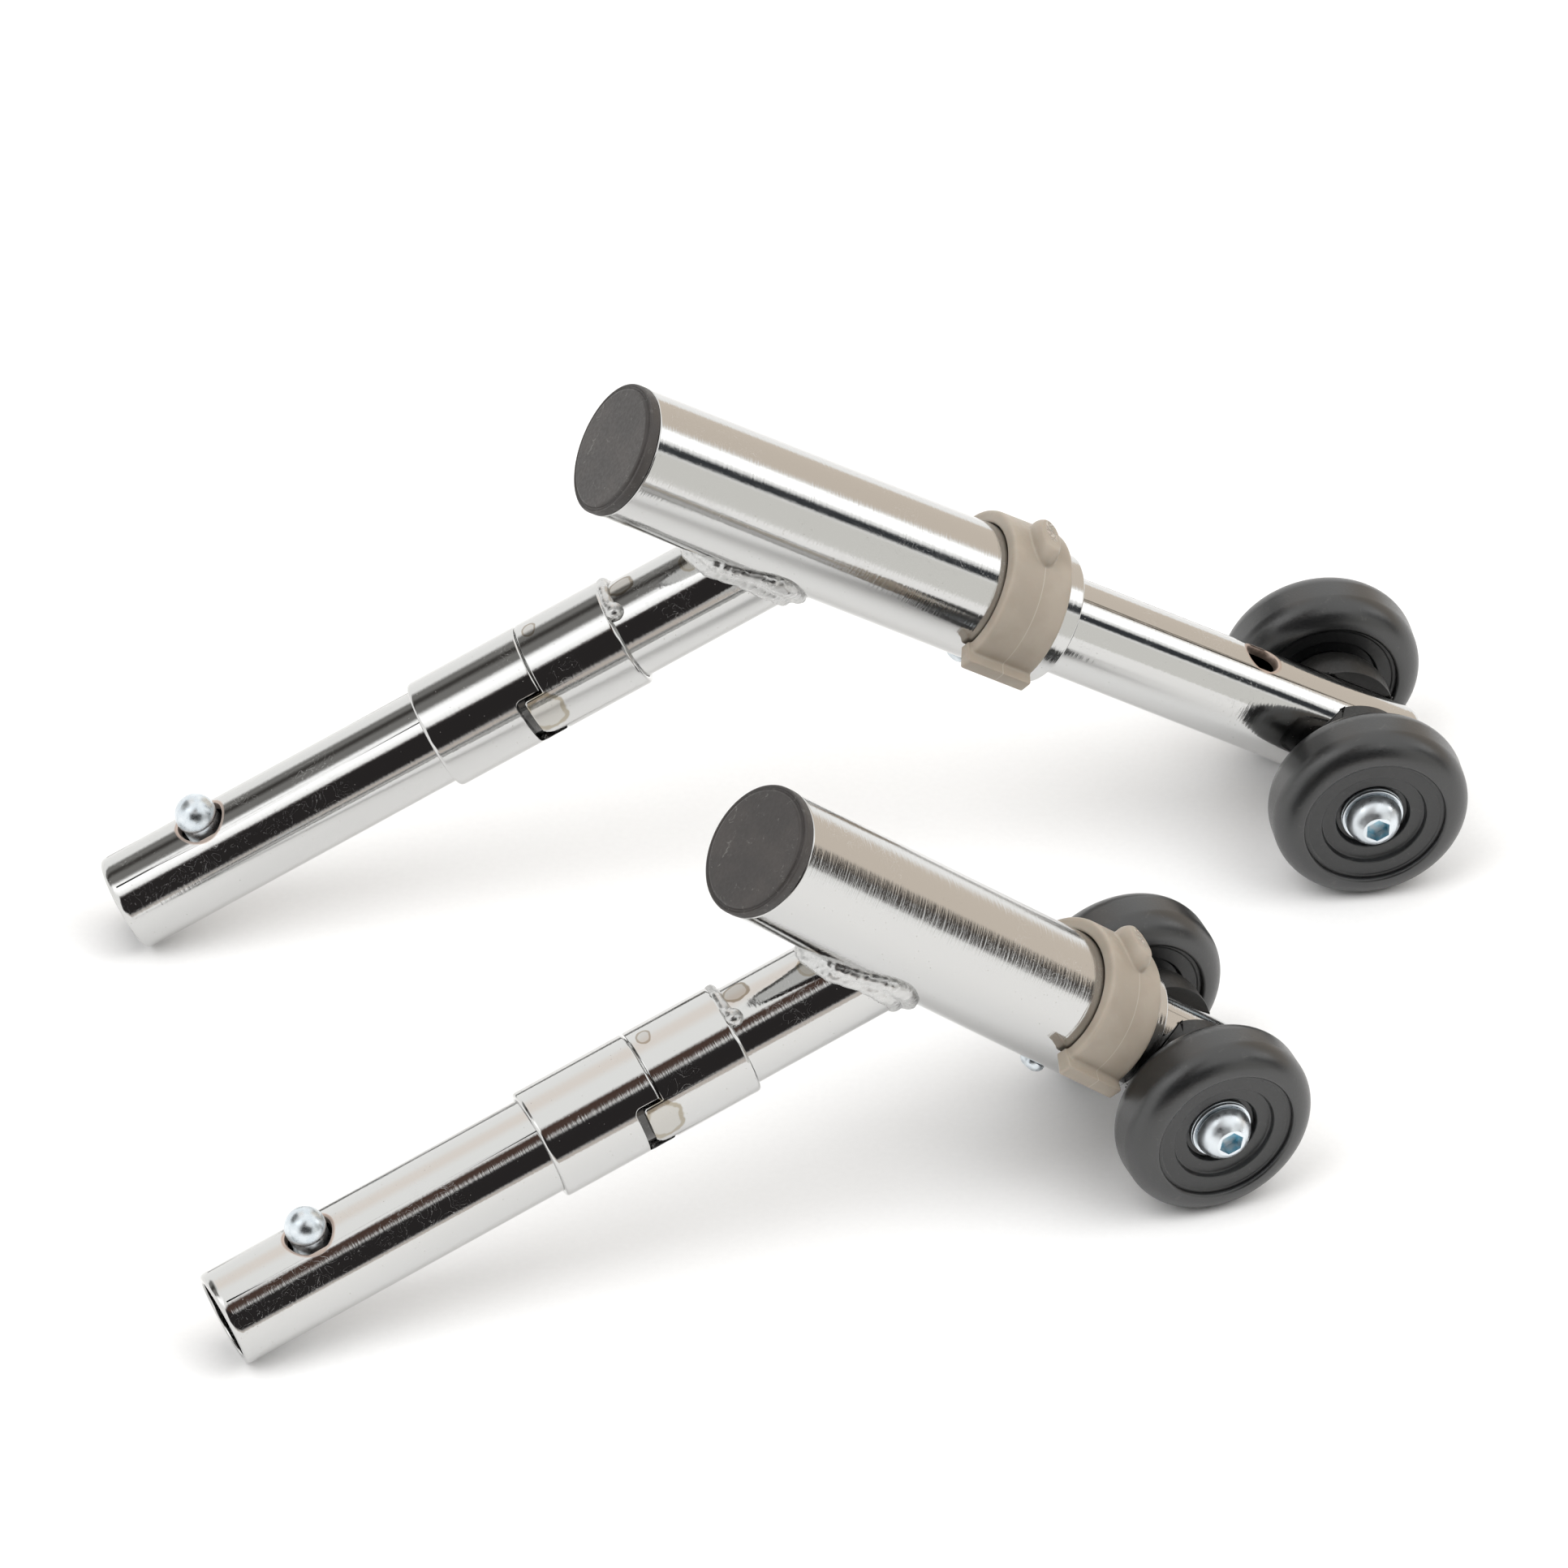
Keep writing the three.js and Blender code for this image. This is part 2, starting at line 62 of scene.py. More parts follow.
spigot_at, leg_at, axle_at, side_at = {}, {}, {}, {}
for unit in "AB":
    near, far = (Vector(joints[f"{unit}_wheel_{side}"]["pos_m"]) for side in ("near", "far"))
    across = (far - near).normalized()
    spigot_along = Vector(joints[f"{unit}_pull"]["axis"]).normalized()
    leg_along = Vector(joints[f"{unit}_height"]["axis"]).normalized()
    axle = (near + far) / 2
    crossing = axle - leg_along * AXLE_X[unit] * MM
    spigot_at[unit] = frame_at(crossing - spigot_along * CROSSING * MM, spigot_along, across)
    leg_at[unit] = frame_at(crossing, leg_along, across)
    axle_at[unit] = frame_at(axle, leg_along, across)
    side_at[unit, "near"] = frame_at(axle, -across, leg_along)
    side_at[unit, "far"] = frame_at(axle, across, -leg_along)


def fit(bench_piece, node, place):
    """Puts a copy of a bench piece in its place on the object, where it stands for a CAD node."""
    piece = bench_piece.copy()
    piece.data = bench_piece.data.copy()
    piece.name = f"{node}_finished"
    bpy.context.scene.collection.objects.link(piece)
    piece.data.transform(place)
    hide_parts(node)
    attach(piece, body_of[node])
    return piece


def fit_both(bench_piece, part, places):
    """One copy for each unit, and the bench piece is cleared away."""
    for unit in "AB":
        fit(bench_piece, f"{unit}_{part}", places[unit])
    bpy.data.objects.remove(bench_piece)


def fit_sides(bench_piece, part):
    """One copy for each side of each unit's axle."""
    for (unit, side), place in side_at.items():
        fit(bench_piece, f"{unit}_{part}_{side}", place)
    bpy.data.objects.remove(bench_piece)


# ---- The camera and the studio
# A long lens looks down on the pair from the front. The floor is pale paper. The studio round it is what the
# chrome shows: light walls, a black flag in front, a softbox, a grey gap overhead, and a beige wall behind.
ELEVATION = math.radians(38.4)
ROLL = math.radians(2.9)
DISTANCE = 8.073
FIELD_WIDTH = 0.34836  # how much the lens takes in across, in metres, at the pair
SENSOR = 36
aim = Vector((-0.001, 0.0921, 0))
forward = Vector((0, math.cos(ELEVATION), -math.sin(ELEVATION)))
level_up = Vector((0, math.sin(ELEVATION), math.cos(ELEVATION)))
level_right = Vector((1, 0, 0))
right = level_right * math.cos(ROLL) + level_up * math.sin(ROLL)
up = level_up * math.cos(ROLL) - level_right * math.sin(ROLL)
camera = bpy.data.objects.new("camera", bpy.data.cameras.new("camera"))
bpy.context.scene.collection.objects.link(camera)
camera_turn = Matrix((right, up, -forward)).transposed().to_4x4()
camera.matrix_world = Matrix.Translation(aim - forward * DISTANCE) @ camera_turn
camera.data.sensor_width = SENSOR
camera.data.lens = SENSOR * DISTANCE / FIELD_WIDTH
camera.data.clip_end = 40
bpy.context.scene.camera = camera
bpy.context.scene.view_settings.view_transform = "Standard"


def linear(hex_colour):
    """An sRGB hex colour as a linear RGBA value."""
    channels = [int(hex_colour[i:i + 2], 16) / 255 for i in (1, 3, 5)]
    return [c / 12.92 if c <= 0.04045 else ((c + 0.055) / 1.055) ** 2.4 for c in channels] + [1]


def add_node(tree, kind, inputs=None, **settings):
    """Adds a node to a tree. An input is a value, or another node's output to link."""
    made = tree.nodes.new(kind)
    for name, value in settings.items():
        setattr(made, name, value)
    for socket, value in (inputs or {}).items():
        if isinstance(value, bpy.types.NodeSocket):
            tree.links.new(value, made.inputs[socket])
        else:
            made.inputs[socket].default_value = value
    return made


def smooth_step(tree, value, start, end, low=0, high=1):
    """A value eased from low to high between start and end."""
    inputs = {"Value": value, "From Min": start, "From Max": end, "To Min": low, "To Max": high}
    return add_node(tree, "ShaderNodeMapRange", inputs, interpolation_type="SMOOTHSTEP").outputs["Result"]


def maths(tree, operation, *values):
    """A sum, product or other function of values."""
    inputs = dict(enumerate(values))
    return add_node(tree, "ShaderNodeMath", inputs, operation=operation).outputs[0]


def vector_maths(tree, operation, *values):
    """The same for vectors. A length or a distance comes out as a number."""
    made = add_node(tree, "ShaderNodeVectorMath", dict(enumerate(values)), operation=operation)
    return made.outputs["Value" if operation in ("LENGTH", "DISTANCE") else "Vector"]


def noise(tree, place, scale, **settings):
    """Noise from 0 to 1 at a place. Its settings are detail, roughness and distortion."""
    inputs = {"Vector": place, "Scale": scale}
    inputs.update({name.title(): value for name, value in settings.items()})
    return add_node(tree, "ShaderNodeTexNoise", inputs).outputs["Fac"]


def mixed(tree, share, first, second, label=""):
    """Two colours mixed."""
    mix = add_node(tree, "ShaderNodeMix", {0: share, 6: first, 7: second}, data_type="RGBA", label=label)
    return mix.outputs[2]


# Each card of the studio: its name, its colour in the chrome, how much brighter it shines, where it starts
# and ends from left to right (-1 to 1) and over the top (degrees from the front horizon), how its upper edge
# slopes left of the middle, and how soft its edges are, left to right and over the top.
CHROME = 0.55  # what share of the light the chrome gives back
STUDIO_CARDS = [
    ("beige wall", "#bcb2a6", 1.0, 0.30, 1.20, 124, 191, 0, 0.08, 6),
    ("beige ceiling edge", "#d5cec8", 1.0, -0.50, -0.18, 104, 138, 0, 0.06, 12),
    ("skirting", "#aea69f", 1.0, -0.20, 0.60, -12, 3, 0, 0.10, 4),
    ("overhead gap", "#6c6b69", 1.0, -0.95, -0.54, 78, 149, 0, 0.04, 7),
    ("overhead gap core", "#363432", 1.0, -0.95, -0.60, 109, 126, 0, 0.04, 8),
    ("flag slope", "#44352f", 1.0, -0.50, 0.09, 20, 72, 62, 0.05, 5),
    ("black flag", "#252323", 1.0, -0.50, 0.62, 3, 46, 0, 0.05, 4),
    ("softbox", "#ffffff", 1.05, -0.80, -0.36, 53, 78, 0, 0.05, 11),
    ("right wall", "#c2c1bd", 1.0, 0.66, 0.97, -18, 46, 0, 0.03, 5),
    ("right gap", "#2f3134", 1.0, 0.80, 0.97, 51, 77, 0, 0.02, 5),
    ("right softbox", "#ffffff", 1.3, 0.80, 0.92, 90, 120, 0, 0.02, 6),
    ("right end", "#403c39", 1.0, 0.965, 1.20, -24, 143, 0, 0.012, 8),
]
world = bpy.data.worlds.new("studio")
world.use_nodes = True
bpy.context.scene.world = world
sky = world.node_tree
sky.nodes.clear()
direction = add_node(sky, "ShaderNodeTexCoord").outputs["Generated"]
ray = add_node(sky, "ShaderNodeSeparateXYZ", {"Vector": direction}).outputs
frontwards = maths(sky, "MULTIPLY", ray["Y"], -1)
over_top = maths(sky, "MULTIPLY", maths(sky, "ARCTAN2", ray["Z"], frontwards), 180 / math.pi)
room = [channel / CHROME for channel in linear("#dadad9")[:3]] + [1]
for name, colour, gain, x0, x1, top0, top1, rise, soft_x, soft_top in STUDIO_CARDS:
    risen = maths(sky, "SUBTRACT", over_top, maths(sky, "MULTIPLY", maths(sky, "MINIMUM", ray["X"], 0), rise))
    share = smooth_step(sky, ray["X"], x0 - soft_x, x0 + soft_x)
    share = maths(sky, "MULTIPLY", share, smooth_step(sky, ray["X"], x1 - soft_x, x1 + soft_x, 1, 0))
    share = maths(sky, "MULTIPLY", share, smooth_step(sky, over_top, top0 - soft_top, top0 + soft_top))
    share = maths(sky, "MULTIPLY", share, smooth_step(sky, risen, top1 - soft_top, top1 + soft_top, 1, 0))
    lit = [channel * gain / CHROME for channel in linear(colour)[:3]] + [1]
    room = mixed(sky, share, room, lit, name)
seen_by_camera = add_node(sky, "ShaderNodeLightPath").outputs["Is Camera Ray"]
backdrop = mixed(sky, seen_by_camera, room, linear("#ffffff"))
background = add_node(sky, "ShaderNodeBackground", {"Color": backdrop, "Strength": 1.0})
add_node(sky, "ShaderNodeOutputWorld", {"Surface": background.outputs[0]})

for name, spot, size, power in (("key", (-0.9, -0.9, 1.8), 1.6, 20), ("fill", (1.3, -0.3, 1.5), 1.4, 10)):
    lamp = bpy.data.objects.new(name, bpy.data.lights.new(name, "AREA"))
    bpy.context.scene.collection.objects.link(lamp)
    lamp.data.size = size
    lamp.data.energy = power
    lamp.visible_glossy = False
    turn = (-Vector(spot)).to_track_quat("-Z", "Y").to_matrix().to_4x4()
    lamp.matrix_world = Matrix.Translation(spot) @ turn

bpy.ops.object.select_all(action="DESELECT")
bpy.ops.mesh.primitive_circle_add(vertices=96, radius=0.6, fill_type="NGON", location=(0, 0, 0))
floor = bpy.context.active_object
floor.name = "floor"
# White paper: a matt, almost even white with a faint grain, so that soft contact shadows show
paper = bpy.data.materials.new("white_paper_sweep")
paper.use_nodes = True
grain = add_node(paper.node_tree, "ShaderNodeTexNoise", {"Scale": 900.0, "Detail": 3.0})
paper_shader = paper.node_tree.nodes["Principled BSDF"]
paper_shader.inputs["Roughness"].default_value = 0.9
paper_shader.inputs["Specular IOR Level"].default_value = 0.1
tone = mixed(paper.node_tree, grain.outputs["Fac"], linear("#f2f2f2"), linear("#f7f7f7"))
paper.node_tree.links.new(tone, paper_shader.inputs["Base Color"])
floor.data.materials.append(paper)

# ---- The spigot tube
# Drawn steel tube, 22.2 mm outside, bright chrome plated. Its free end is rolled round, and the snap button
# comes up through a punched hole whose flared rim was polished down to a coppery edge.
TUBE_R = 11.1
TUBE_BORE = 9.1
ROLLED_END = 1.9
SPIGOT_END = 88
BUTTON_X = 24.9
BUTTON_HOLE = 5.25
HOLE_FLARE = 0.8
TUBE_STEPS = 192


def to_bench(kind, **settings):
    """Adds a primitive with nothing else selected, and applies its turn and place to its mesh."""
    bpy.ops.object.select_all(action="DESELECT")
    kind(**settings)
    bpy.ops.object.transform_apply(location=True, rotation=True, scale=True)
    return bpy.context.active_object


def softened(corners, radius, steps=3):
    """Rounds the corners of a closed profile. A corner may give a radius of its own as its third number."""
    rounded = []
    for i, corner in enumerate(corners):
        here = Vector(corner[:2])
        own_radius = corner[2] if len(corner) > 2 else radius
        to_last = Vector(corners[i - 1][:2]) - here
        to_next = Vector(corners[(i + 1) % len(corners)][:2]) - here
        start = here + to_last.normalized() * min(own_radius, to_last.length * 0.48)
        end = here + to_next.normalized() * min(own_radius, to_next.length * 0.48)
        count = steps if own_radius > 0 else 0
        for step in range(count + 1):
            t = step / max(count, 1)
            rounded.append(tuple(start * (1 - t) ** 2 + here * 2 * t * (1 - t) + end * t * t))
    return rounded


def turned(profile, steps=TUBE_STEPS):
    """Turns a closed profile of (x, radius) about X: a ring is drawn out and scaled from point to point.
    Points on the axis are closed to one vertex."""
    on_axis = 0.01
    points = [(x, max(radius, on_axis)) for x, radius in profile]
    points.append(points[0])
    if profile[0][1] <= on_axis:
        points.pop()
    x, radius = points[0]
    piece = to_bench(bpy.ops.mesh.primitive_circle_add, vertices=steps, radius=radius * MM,
                     location=(x * MM, 0, 0), rotation=(0, math.pi / 2, 0))
    bpy.ops.object.mode_set(mode="EDIT")
    bpy.ops.mesh.select_all(action="SELECT")
    for (x0, radius0), (x1, radius1) in zip(points, points[1:]):
        bpy.ops.mesh.extrude_edges_move(TRANSFORM_OT_translate={"value": ((x1 - x0) * MM, 0, 0)})
        wider = radius1 / radius0
        bpy.ops.transform.resize(value=(1, wider, wider), center_override=(x1 * MM, 0, 0))
    bpy.ops.mesh.select_all(action="DESELECT")
    mesh = bmesh.from_edit_mesh(piece.data)
    for vertex in mesh.verts:
        vertex.select = math.hypot(vertex.co.y, vertex.co.z) < 2 * on_axis * MM
    mesh.select_flush_mode()
    bmesh.update_edit_mesh(piece.data)
    bpy.ops.mesh.merge(type="COLLAPSE")
    bpy.ops.mesh.select_all(action="SELECT")
    bpy.ops.mesh.remove_doubles(threshold=0.002 * MM)
    bpy.ops.mesh.normals_make_consistent(inside=False)
    bpy.ops.object.mode_set(mode="OBJECT")
    return piece


def apply_modifier(piece, kind, **settings):
    """Adds a modifier and applies it."""
    modifier = piece.modifiers.new(kind.lower(), kind)
    for name, value in settings.items():
        setattr(modifier, name, value)
    bpy.ops.object.select_all(action="DESELECT")
    bpy.context.view_layer.objects.active = piece
    bpy.ops.object.modifier_apply(modifier=modifier.name)


def cut(piece, cutter, operation="DIFFERENCE"):
    """Cuts a piece with another, which is used up."""
    apply_modifier(piece, "BOOLEAN", object=cutter, operation=operation, solver="EXACT")
    bpy.data.objects.remove(cutter)


def upright_bar(x, radius, low, high, steps=64):
    """A round bar standing across a tube at x, from low to high, to cut with."""
    return to_bench(bpy.ops.mesh.primitive_cylinder_add, vertices=steps, radius=radius * MM,
                    depth=(high - low) * MM, location=(x * MM, 0, (low + high) / 2 * MM))


def ease_edges(piece, width, test, angle=50):
    """Bevels the sharp edges whose middle passes a test."""
    bpy.ops.object.select_all(action="DESELECT")
    bpy.context.view_layer.objects.active = piece
    bpy.ops.object.mode_set(mode="EDIT")
    bpy.ops.mesh.select_mode(type="EDGE")
    bpy.ops.mesh.select_all(action="DESELECT")
    mesh = bmesh.from_edit_mesh(piece.data)
    for edge in mesh.edges:
        middle = (edge.verts[0].co + edge.verts[1].co) / 2 / MM
        sharp = len(edge.link_faces) == 2 and edge.calc_face_angle(0) > math.radians(angle)
        edge.select_set(sharp and test(middle))
    bmesh.update_edit_mesh(piece.data)
    bpy.ops.mesh.bevel(offset=width * MM, segments=2, clamp_overlap=False)
    bpy.ops.mesh.select_mode(type="VERT")
    bpy.ops.object.mode_set(mode="OBJECT")


def finish_bench(piece, material, angle=38):
    """Smooths the shading, keeps each vertex's place in mm for the patterns, and paints the piece."""
    bpy.ops.object.select_all(action="DESELECT")
    piece.select_set(True)
    bpy.context.view_layer.objects.active = piece
    bpy.ops.object.shade_smooth_by_angle(angle=math.radians(angle))
    apply_modifier(piece, "WEIGHTED_NORMAL", keep_sharp=True)
    bench = piece.data.attributes.new("bench", "FLOAT_VECTOR", "POINT")
    for point, vertex in zip(bench.data, piece.data.vertices):
        point.vector = vertex.co / MM
    piece.data.materials.clear()
    piece.data.materials.append(material)


def bright_chrome(name, rims=(), stains_and_shade=(), roughness=0.055, polishing=0.3):
    """Bright chrome plate on drawn tube: a clear mirror with a faint orange peel, fine wiping scratches,
    dust, and the polishing marks that run round the tube. A rim is a hole's (x, side, radius) with a coppery
    edge. A stain is a rinse mark, or a near-black patch of painted shade where the tube shows through a
    gap: its place, size and colour, and how filled its outline is."""
    material = bpy.data.materials.new(name)
    material.use_nodes = True
    tree = material.node_tree
    shader = tree.nodes["Principled BSDF"]
    place = add_node(tree, "ShaderNodeAttribute", attribute_name="bench").outputs["Vector"]
    colour = linear("#c4c4c3")
    dulled = 0.0
    for x, side, radius in rims:
        flat = vector_maths(tree, "MULTIPLY", place, (1, 1, 0))
        away = vector_maths(tree, "DISTANCE", flat, (x, 0, 0))
        height = add_node(tree, "ShaderNodeSeparateXYZ", {0: place}).outputs["Z"]
        this_side = maths(tree, "GREATER_THAN", maths(tree, "MULTIPLY", height, side), 0)
        edge = maths(tree, "MULTIPLY", smooth_step(tree, away, radius + 1.1, radius + 0.7), this_side)
        colour = mixed(tree, edge, colour, linear("#c2b2a8"))
        dulled = maths(tree, "MAXIMUM", dulled, edge)
    for spot, size, tint, filled in stains_and_shade:
        shifted = vector_maths(tree, "SUBTRACT", place, spot)
        scaled = vector_maths(tree, "DIVIDE", shifted, size)
        wobble = noise(tree, place, 0.35, detail=2.0)
        away = vector_maths(tree, "LENGTH", scaled)
        away = maths(tree, "ADD", away, maths(tree, "MULTIPLY", maths(tree, "SUBTRACT", wobble, 0.5), 0.5))
        outline = maths(tree, "MULTIPLY", smooth_step(tree, away, 0.68, 0.88),
                        smooth_step(tree, away, 1.12, 1.0))
        fill = maths(tree, "MULTIPLY", smooth_step(tree, away, 1.1, 0.95), filled)
        share = maths(tree, "MAXIMUM", maths(tree, "MULTIPLY", outline, 0.8), fill)
        colour = mixed(tree, share, colour, linear(tint))
    stretched = add_node(tree, "ShaderNodeMapping", {"Vector": place, "Scale": (0.12, 1, 1)}).outputs[0]
    wiped = noise(tree, stretched, 1.6, detail=6.0)
    scratch_noise = noise(tree, place, 0.22, detail=1.0, distortion=3.0)
    off_line = maths(tree, "ABSOLUTE", maths(tree, "SUBTRACT", scratch_noise, 0.52))
    worn = noise(tree, place, 0.06, detail=2.0)
    scratch = maths(tree, "MULTIPLY", smooth_step(tree, off_line, 0.0022, 0.0006),
                    smooth_step(tree, worn, 0.5, 0.6))
    dust_cells = add_node(tree, "ShaderNodeTexVoronoi", {"Vector": place, "Scale": 0.7}).outputs
    picked = add_node(tree, "ShaderNodeSeparateColor", {0: dust_cells["Color"]}).outputs["Red"]
    dust = maths(tree, "MULTIPLY", smooth_step(tree, dust_cells["Distance"], 0.10, 0.05),
                 maths(tree, "GREATER_THAN", picked, 0.55))
    colour = mixed(tree, maths(tree, "MULTIPLY", dust, 0.8), colour, linear("#a8a5a0"))
    colour = mixed(tree, maths(tree, "MULTIPLY", scratch, 0.5), colour, linear("#dcdcdc"))
    dulled = maths(tree, "MAXIMUM", maths(tree, "MAXIMUM", dust, scratch), dulled)
    rough = maths(tree, "ADD", smooth_step(tree, wiped, 0.3, 0.8, roughness * 0.7, roughness * 1.6),
                  maths(tree, "MULTIPLY", dulled, 0.4))
    peel = noise(tree, place, 1.1, detail=4.0, roughness=0.7)
    swell = noise(tree, stretched, 0.12, detail=1.0)
    relief = maths(tree, "ADD", maths(tree, "MULTIPLY", peel, 0.15),
                   maths(tree, "MULTIPLY", swell, 1.0))
    around = add_node(tree, "ShaderNodeMapping", {"Vector": place, "Scale": (1, 0.08, 0.08)}).outputs[0]
    marks = noise(tree, around, 1.7, detail=5.0)
    relief = maths(tree, "ADD", relief, maths(tree, "MULTIPLY", marks, polishing))
    relief = maths(tree, "SUBTRACT", relief, maths(tree, "MULTIPLY", scratch, 0.05))
    bump = add_node(tree, "ShaderNodeBump", {"Height": relief, "Strength": 1.0, "Distance": 0.06 * MM})
    tree.links.new(colour, shader.inputs["Base Color"])
    tree.links.new(rough, shader.inputs["Roughness"])
    tree.links.new(bump.outputs[0], shader.inputs["Normal"])
    shader.inputs["Metallic"].default_value = 1.0
    return material


spigot_chrome = bright_chrome("bright_chrome_spigot", rims=[(BUTTON_X, 1, BUTTON_HOLE)])
spigot = turned(softened([(0, TUBE_BORE, 0.5), (0, TUBE_R, ROLLED_END), (SPIGOT_END, TUBE_R),
                          (SPIGOT_END, TUBE_BORE)], 0.3, 5))
cut(spigot, upright_bar(BUTTON_X, BUTTON_HOLE, 0, 20))
ease_edges(spigot, HOLE_FLARE,
           lambda p: math.hypot(p.x - BUTTON_X, p.y) < BUTTON_HOLE + 0.3 and p.z > TUBE_BORE)
finish_bench(spigot, spigot_chrome)
fit_both(spigot, "spigot_tube", spigot_at)

# ---- The snap button and its spring
# A domed steel pin with a flanged foot, on a bent leaf spring inside the spigot. The pin is zinc plated to a
# pale bluish white. The steel inside the tubes is painted here too: springs, stop ring, rod and nut.
BUTTON_R = 4.65
DOME_Z = 12.75
FOOT_R = 5.65
FOOT_Z = 3.2


def arc(x, radius, reach, start, end, steps=10):
    """Points on a round stretch of a profile, from one angle to another in degrees."""
    angles = (math.radians(start + (end - start) * i / steps) for i in range(steps + 1))
    return [(x + reach * math.cos(a), radius + reach * math.sin(a)) for a in angles]


def zinc_plate(name, roughness=0.3, tint="#c6ced4"):
    """Blue passivated zinc on turned steel: a satin, slightly cloudy bluish white with a crystal grain."""
    material = bpy.data.materials.new(name)
    material.use_nodes = True
    tree = material.node_tree
    shader = tree.nodes["Principled BSDF"]
    place = add_node(tree, "ShaderNodeAttribute", attribute_name="bench").outputs["Vector"]
    cloud = noise(tree, place, 0.5, detail=5.0)
    colour = mixed(tree, smooth_step(tree, cloud, 0.35, 0.7), linear(tint), linear("#dfe5e9"))
    rough = smooth_step(tree, cloud, 0.3, 0.7, roughness * 0.75, roughness * 1.3)
    crystals = noise(tree, place, 3.0, detail=3.0)
    bump = add_node(tree, "ShaderNodeBump", {"Height": crystals, "Strength": 0.5, "Distance": 0.008 * MM})
    tree.links.new(colour, shader.inputs["Base Color"])
    tree.links.new(rough, shader.inputs["Roughness"])
    tree.links.new(bump.outputs[0], shader.inputs["Normal"])
    shader.inputs["Metallic"].default_value = 1.0
    return material


def stood_up(piece, x):
    """Turns a piece made along X to point up, at x."""
    piece.data.transform(Matrix.Translation((x * MM, 0, 0)) @ Matrix.Rotation(-math.pi / 2, 4, "Y"))


zinc = zinc_plate("blue_zinc_plate")
screw_zinc = zinc_plate("bright_zinc_plate", 0.34, "#dce2e7")
foot = [(FOOT_Z, 0), (FOOT_Z, FOOT_R), (FOOT_Z + 1.4, FOOT_R), (FOOT_Z + 1.4, BUTTON_R - 0.25),
        (11.2, BUTTON_R - 0.25)]
button = turned(foot + arc(DOME_Z, 0, BUTTON_R, 105, 0, 14), 72)
stood_up(button, BUTTON_X)
finish_bench(button, zinc)
fit_both(button, "snap_button", spigot_at)


def plain_steel(name, tint, roughness):
    """Oiled or turned steel inside the tubes: mid grey, with fine turning marks."""
    material = bpy.data.materials.new(name)
    material.use_nodes = True
    tree = material.node_tree
    shader = tree.nodes["Principled BSDF"]
    place = add_node(tree, "ShaderNodeTexCoord").outputs["Object"]
    marks = noise(tree, place, 700.0, detail=4.0)
    colour = mixed(tree, marks, linear(tint), linear("#8a8885"))
    rough = smooth_step(tree, marks, 0.3, 0.7, roughness * 0.8, roughness * 1.25)
    bump = add_node(tree, "ShaderNodeBump", {"Height": marks, "Strength": 0.5, "Distance": 0.03 * MM})
    tree.links.new(colour, shader.inputs["Base Color"])
    tree.links.new(rough, shader.inputs["Roughness"])
    tree.links.new(bump.outputs[0], shader.inputs["Normal"])
    shader.inputs["Metallic"].default_value = 1.0
    return material


def paint_nodes(part, material):
    """Gives a carried-over CAD node of each unit its material."""
    for unit in "AB":
        node = frame["nodes"][f"{unit}_{part}"]
        node.data.materials.clear()
        node.data.materials.append(material)


spring_steel = plain_steel("oiled_spring_steel", "#5c5b5a", 0.35)
turned_steel = plain_steel("turned_steel", "#74726f", 0.3)
for part in ("button_spring", "return_spring"):
    paint_nodes(part, spring_steel)
for part in ("stop_ring", "swivel_rod", "rod_nut"):
    paint_nodes(part, turned_steel)

# ---- The two sleeves of the turning joint
# Thick steel sleeves, 25.4 mm outside, chromed. The first is fixed on the spigot and has a punched notch on
# each side, and the second has a tab that drops into the near one when the joint is home.
SLEEVE_R = 12.7
SLEEVE_BORE = 11.25
FIXED = (78.9, 105.95)
INDEXED = (106.3, 127.3)
SLEEVE_EDGE = 0.3
NOTCH = {"depth": 6.3, "low": -8.8, "high": 6.0}
TAB = {"length": 4.8, "low": -6.9, "high": 5.2}


def side_block(x0, x1, low, high, corner_low, corner_high):
    """A block through the near wall of a sleeve, its two corners at x0 rounded, each by its own radius."""
    block = to_bench(bpy.ops.mesh.primitive_cube_add, size=MM, scale=(x1 - x0, 20, high - low),
                     location=((x0 + x1) / 2 * MM, -10 * MM, (low + high) / 2 * MM))
    for level, radius in ((low, corner_low), (high, corner_high)):
        bpy.ops.object.mode_set(mode="EDIT")
        bpy.ops.mesh.select_mode(type="EDGE")
        bpy.ops.mesh.select_all(action="DESELECT")
        mesh = bmesh.from_edit_mesh(block.data)
        for edge in mesh.edges:
            ends = [v.co / MM for v in edge.verts]
            edge.select_set(all(abs(p.x - x0) < 0.01 and abs(p.z - level) < 0.01 for p in ends))
        bmesh.update_edit_mesh(block.data)
        bpy.ops.mesh.bevel(offset=radius * MM, segments=6, affect="EDGES")
        bpy.ops.mesh.select_mode(type="VERT")
        bpy.ops.object.mode_set(mode="OBJECT")
    return block


sleeve_chrome = bright_chrome("bright_chrome_sleeves", stains_and_shade=[
    ((104.9, -12.7, 0.3), (4.2, 8.0, 5.2), "#968d7a", 0.3),
    ((109.5, 1.0, 12.6), (1.7, 2.2, 2.2), "#8f8577", 0.25),
])
fixed_sleeve = turned(softened([(FIXED[0], SLEEVE_BORE), (FIXED[0], SLEEVE_R, 0.9),
                                (FIXED[1], SLEEVE_R, 0.5), (FIXED[1], SLEEVE_BORE)], 0.45))
notch_start = FIXED[1] - NOTCH["depth"]
for turn in (0, math.pi):
    notch = side_block(notch_start, FIXED[1] + 1, NOTCH["low"], NOTCH["high"], 1.2, 1.4)
    notch.data.transform(Matrix.Rotation(turn, 4, "X"))
    cut(fixed_sleeve, notch)
ease_edges(fixed_sleeve, SLEEVE_EDGE, lambda p: notch_start - 0.5 < p.x < FIXED[1] - 0.4 and abs(p.y) > 7)
finish_bench(fixed_sleeve, sleeve_chrome)
fit_both(fixed_sleeve, "fixed_sleeve", spigot_at)

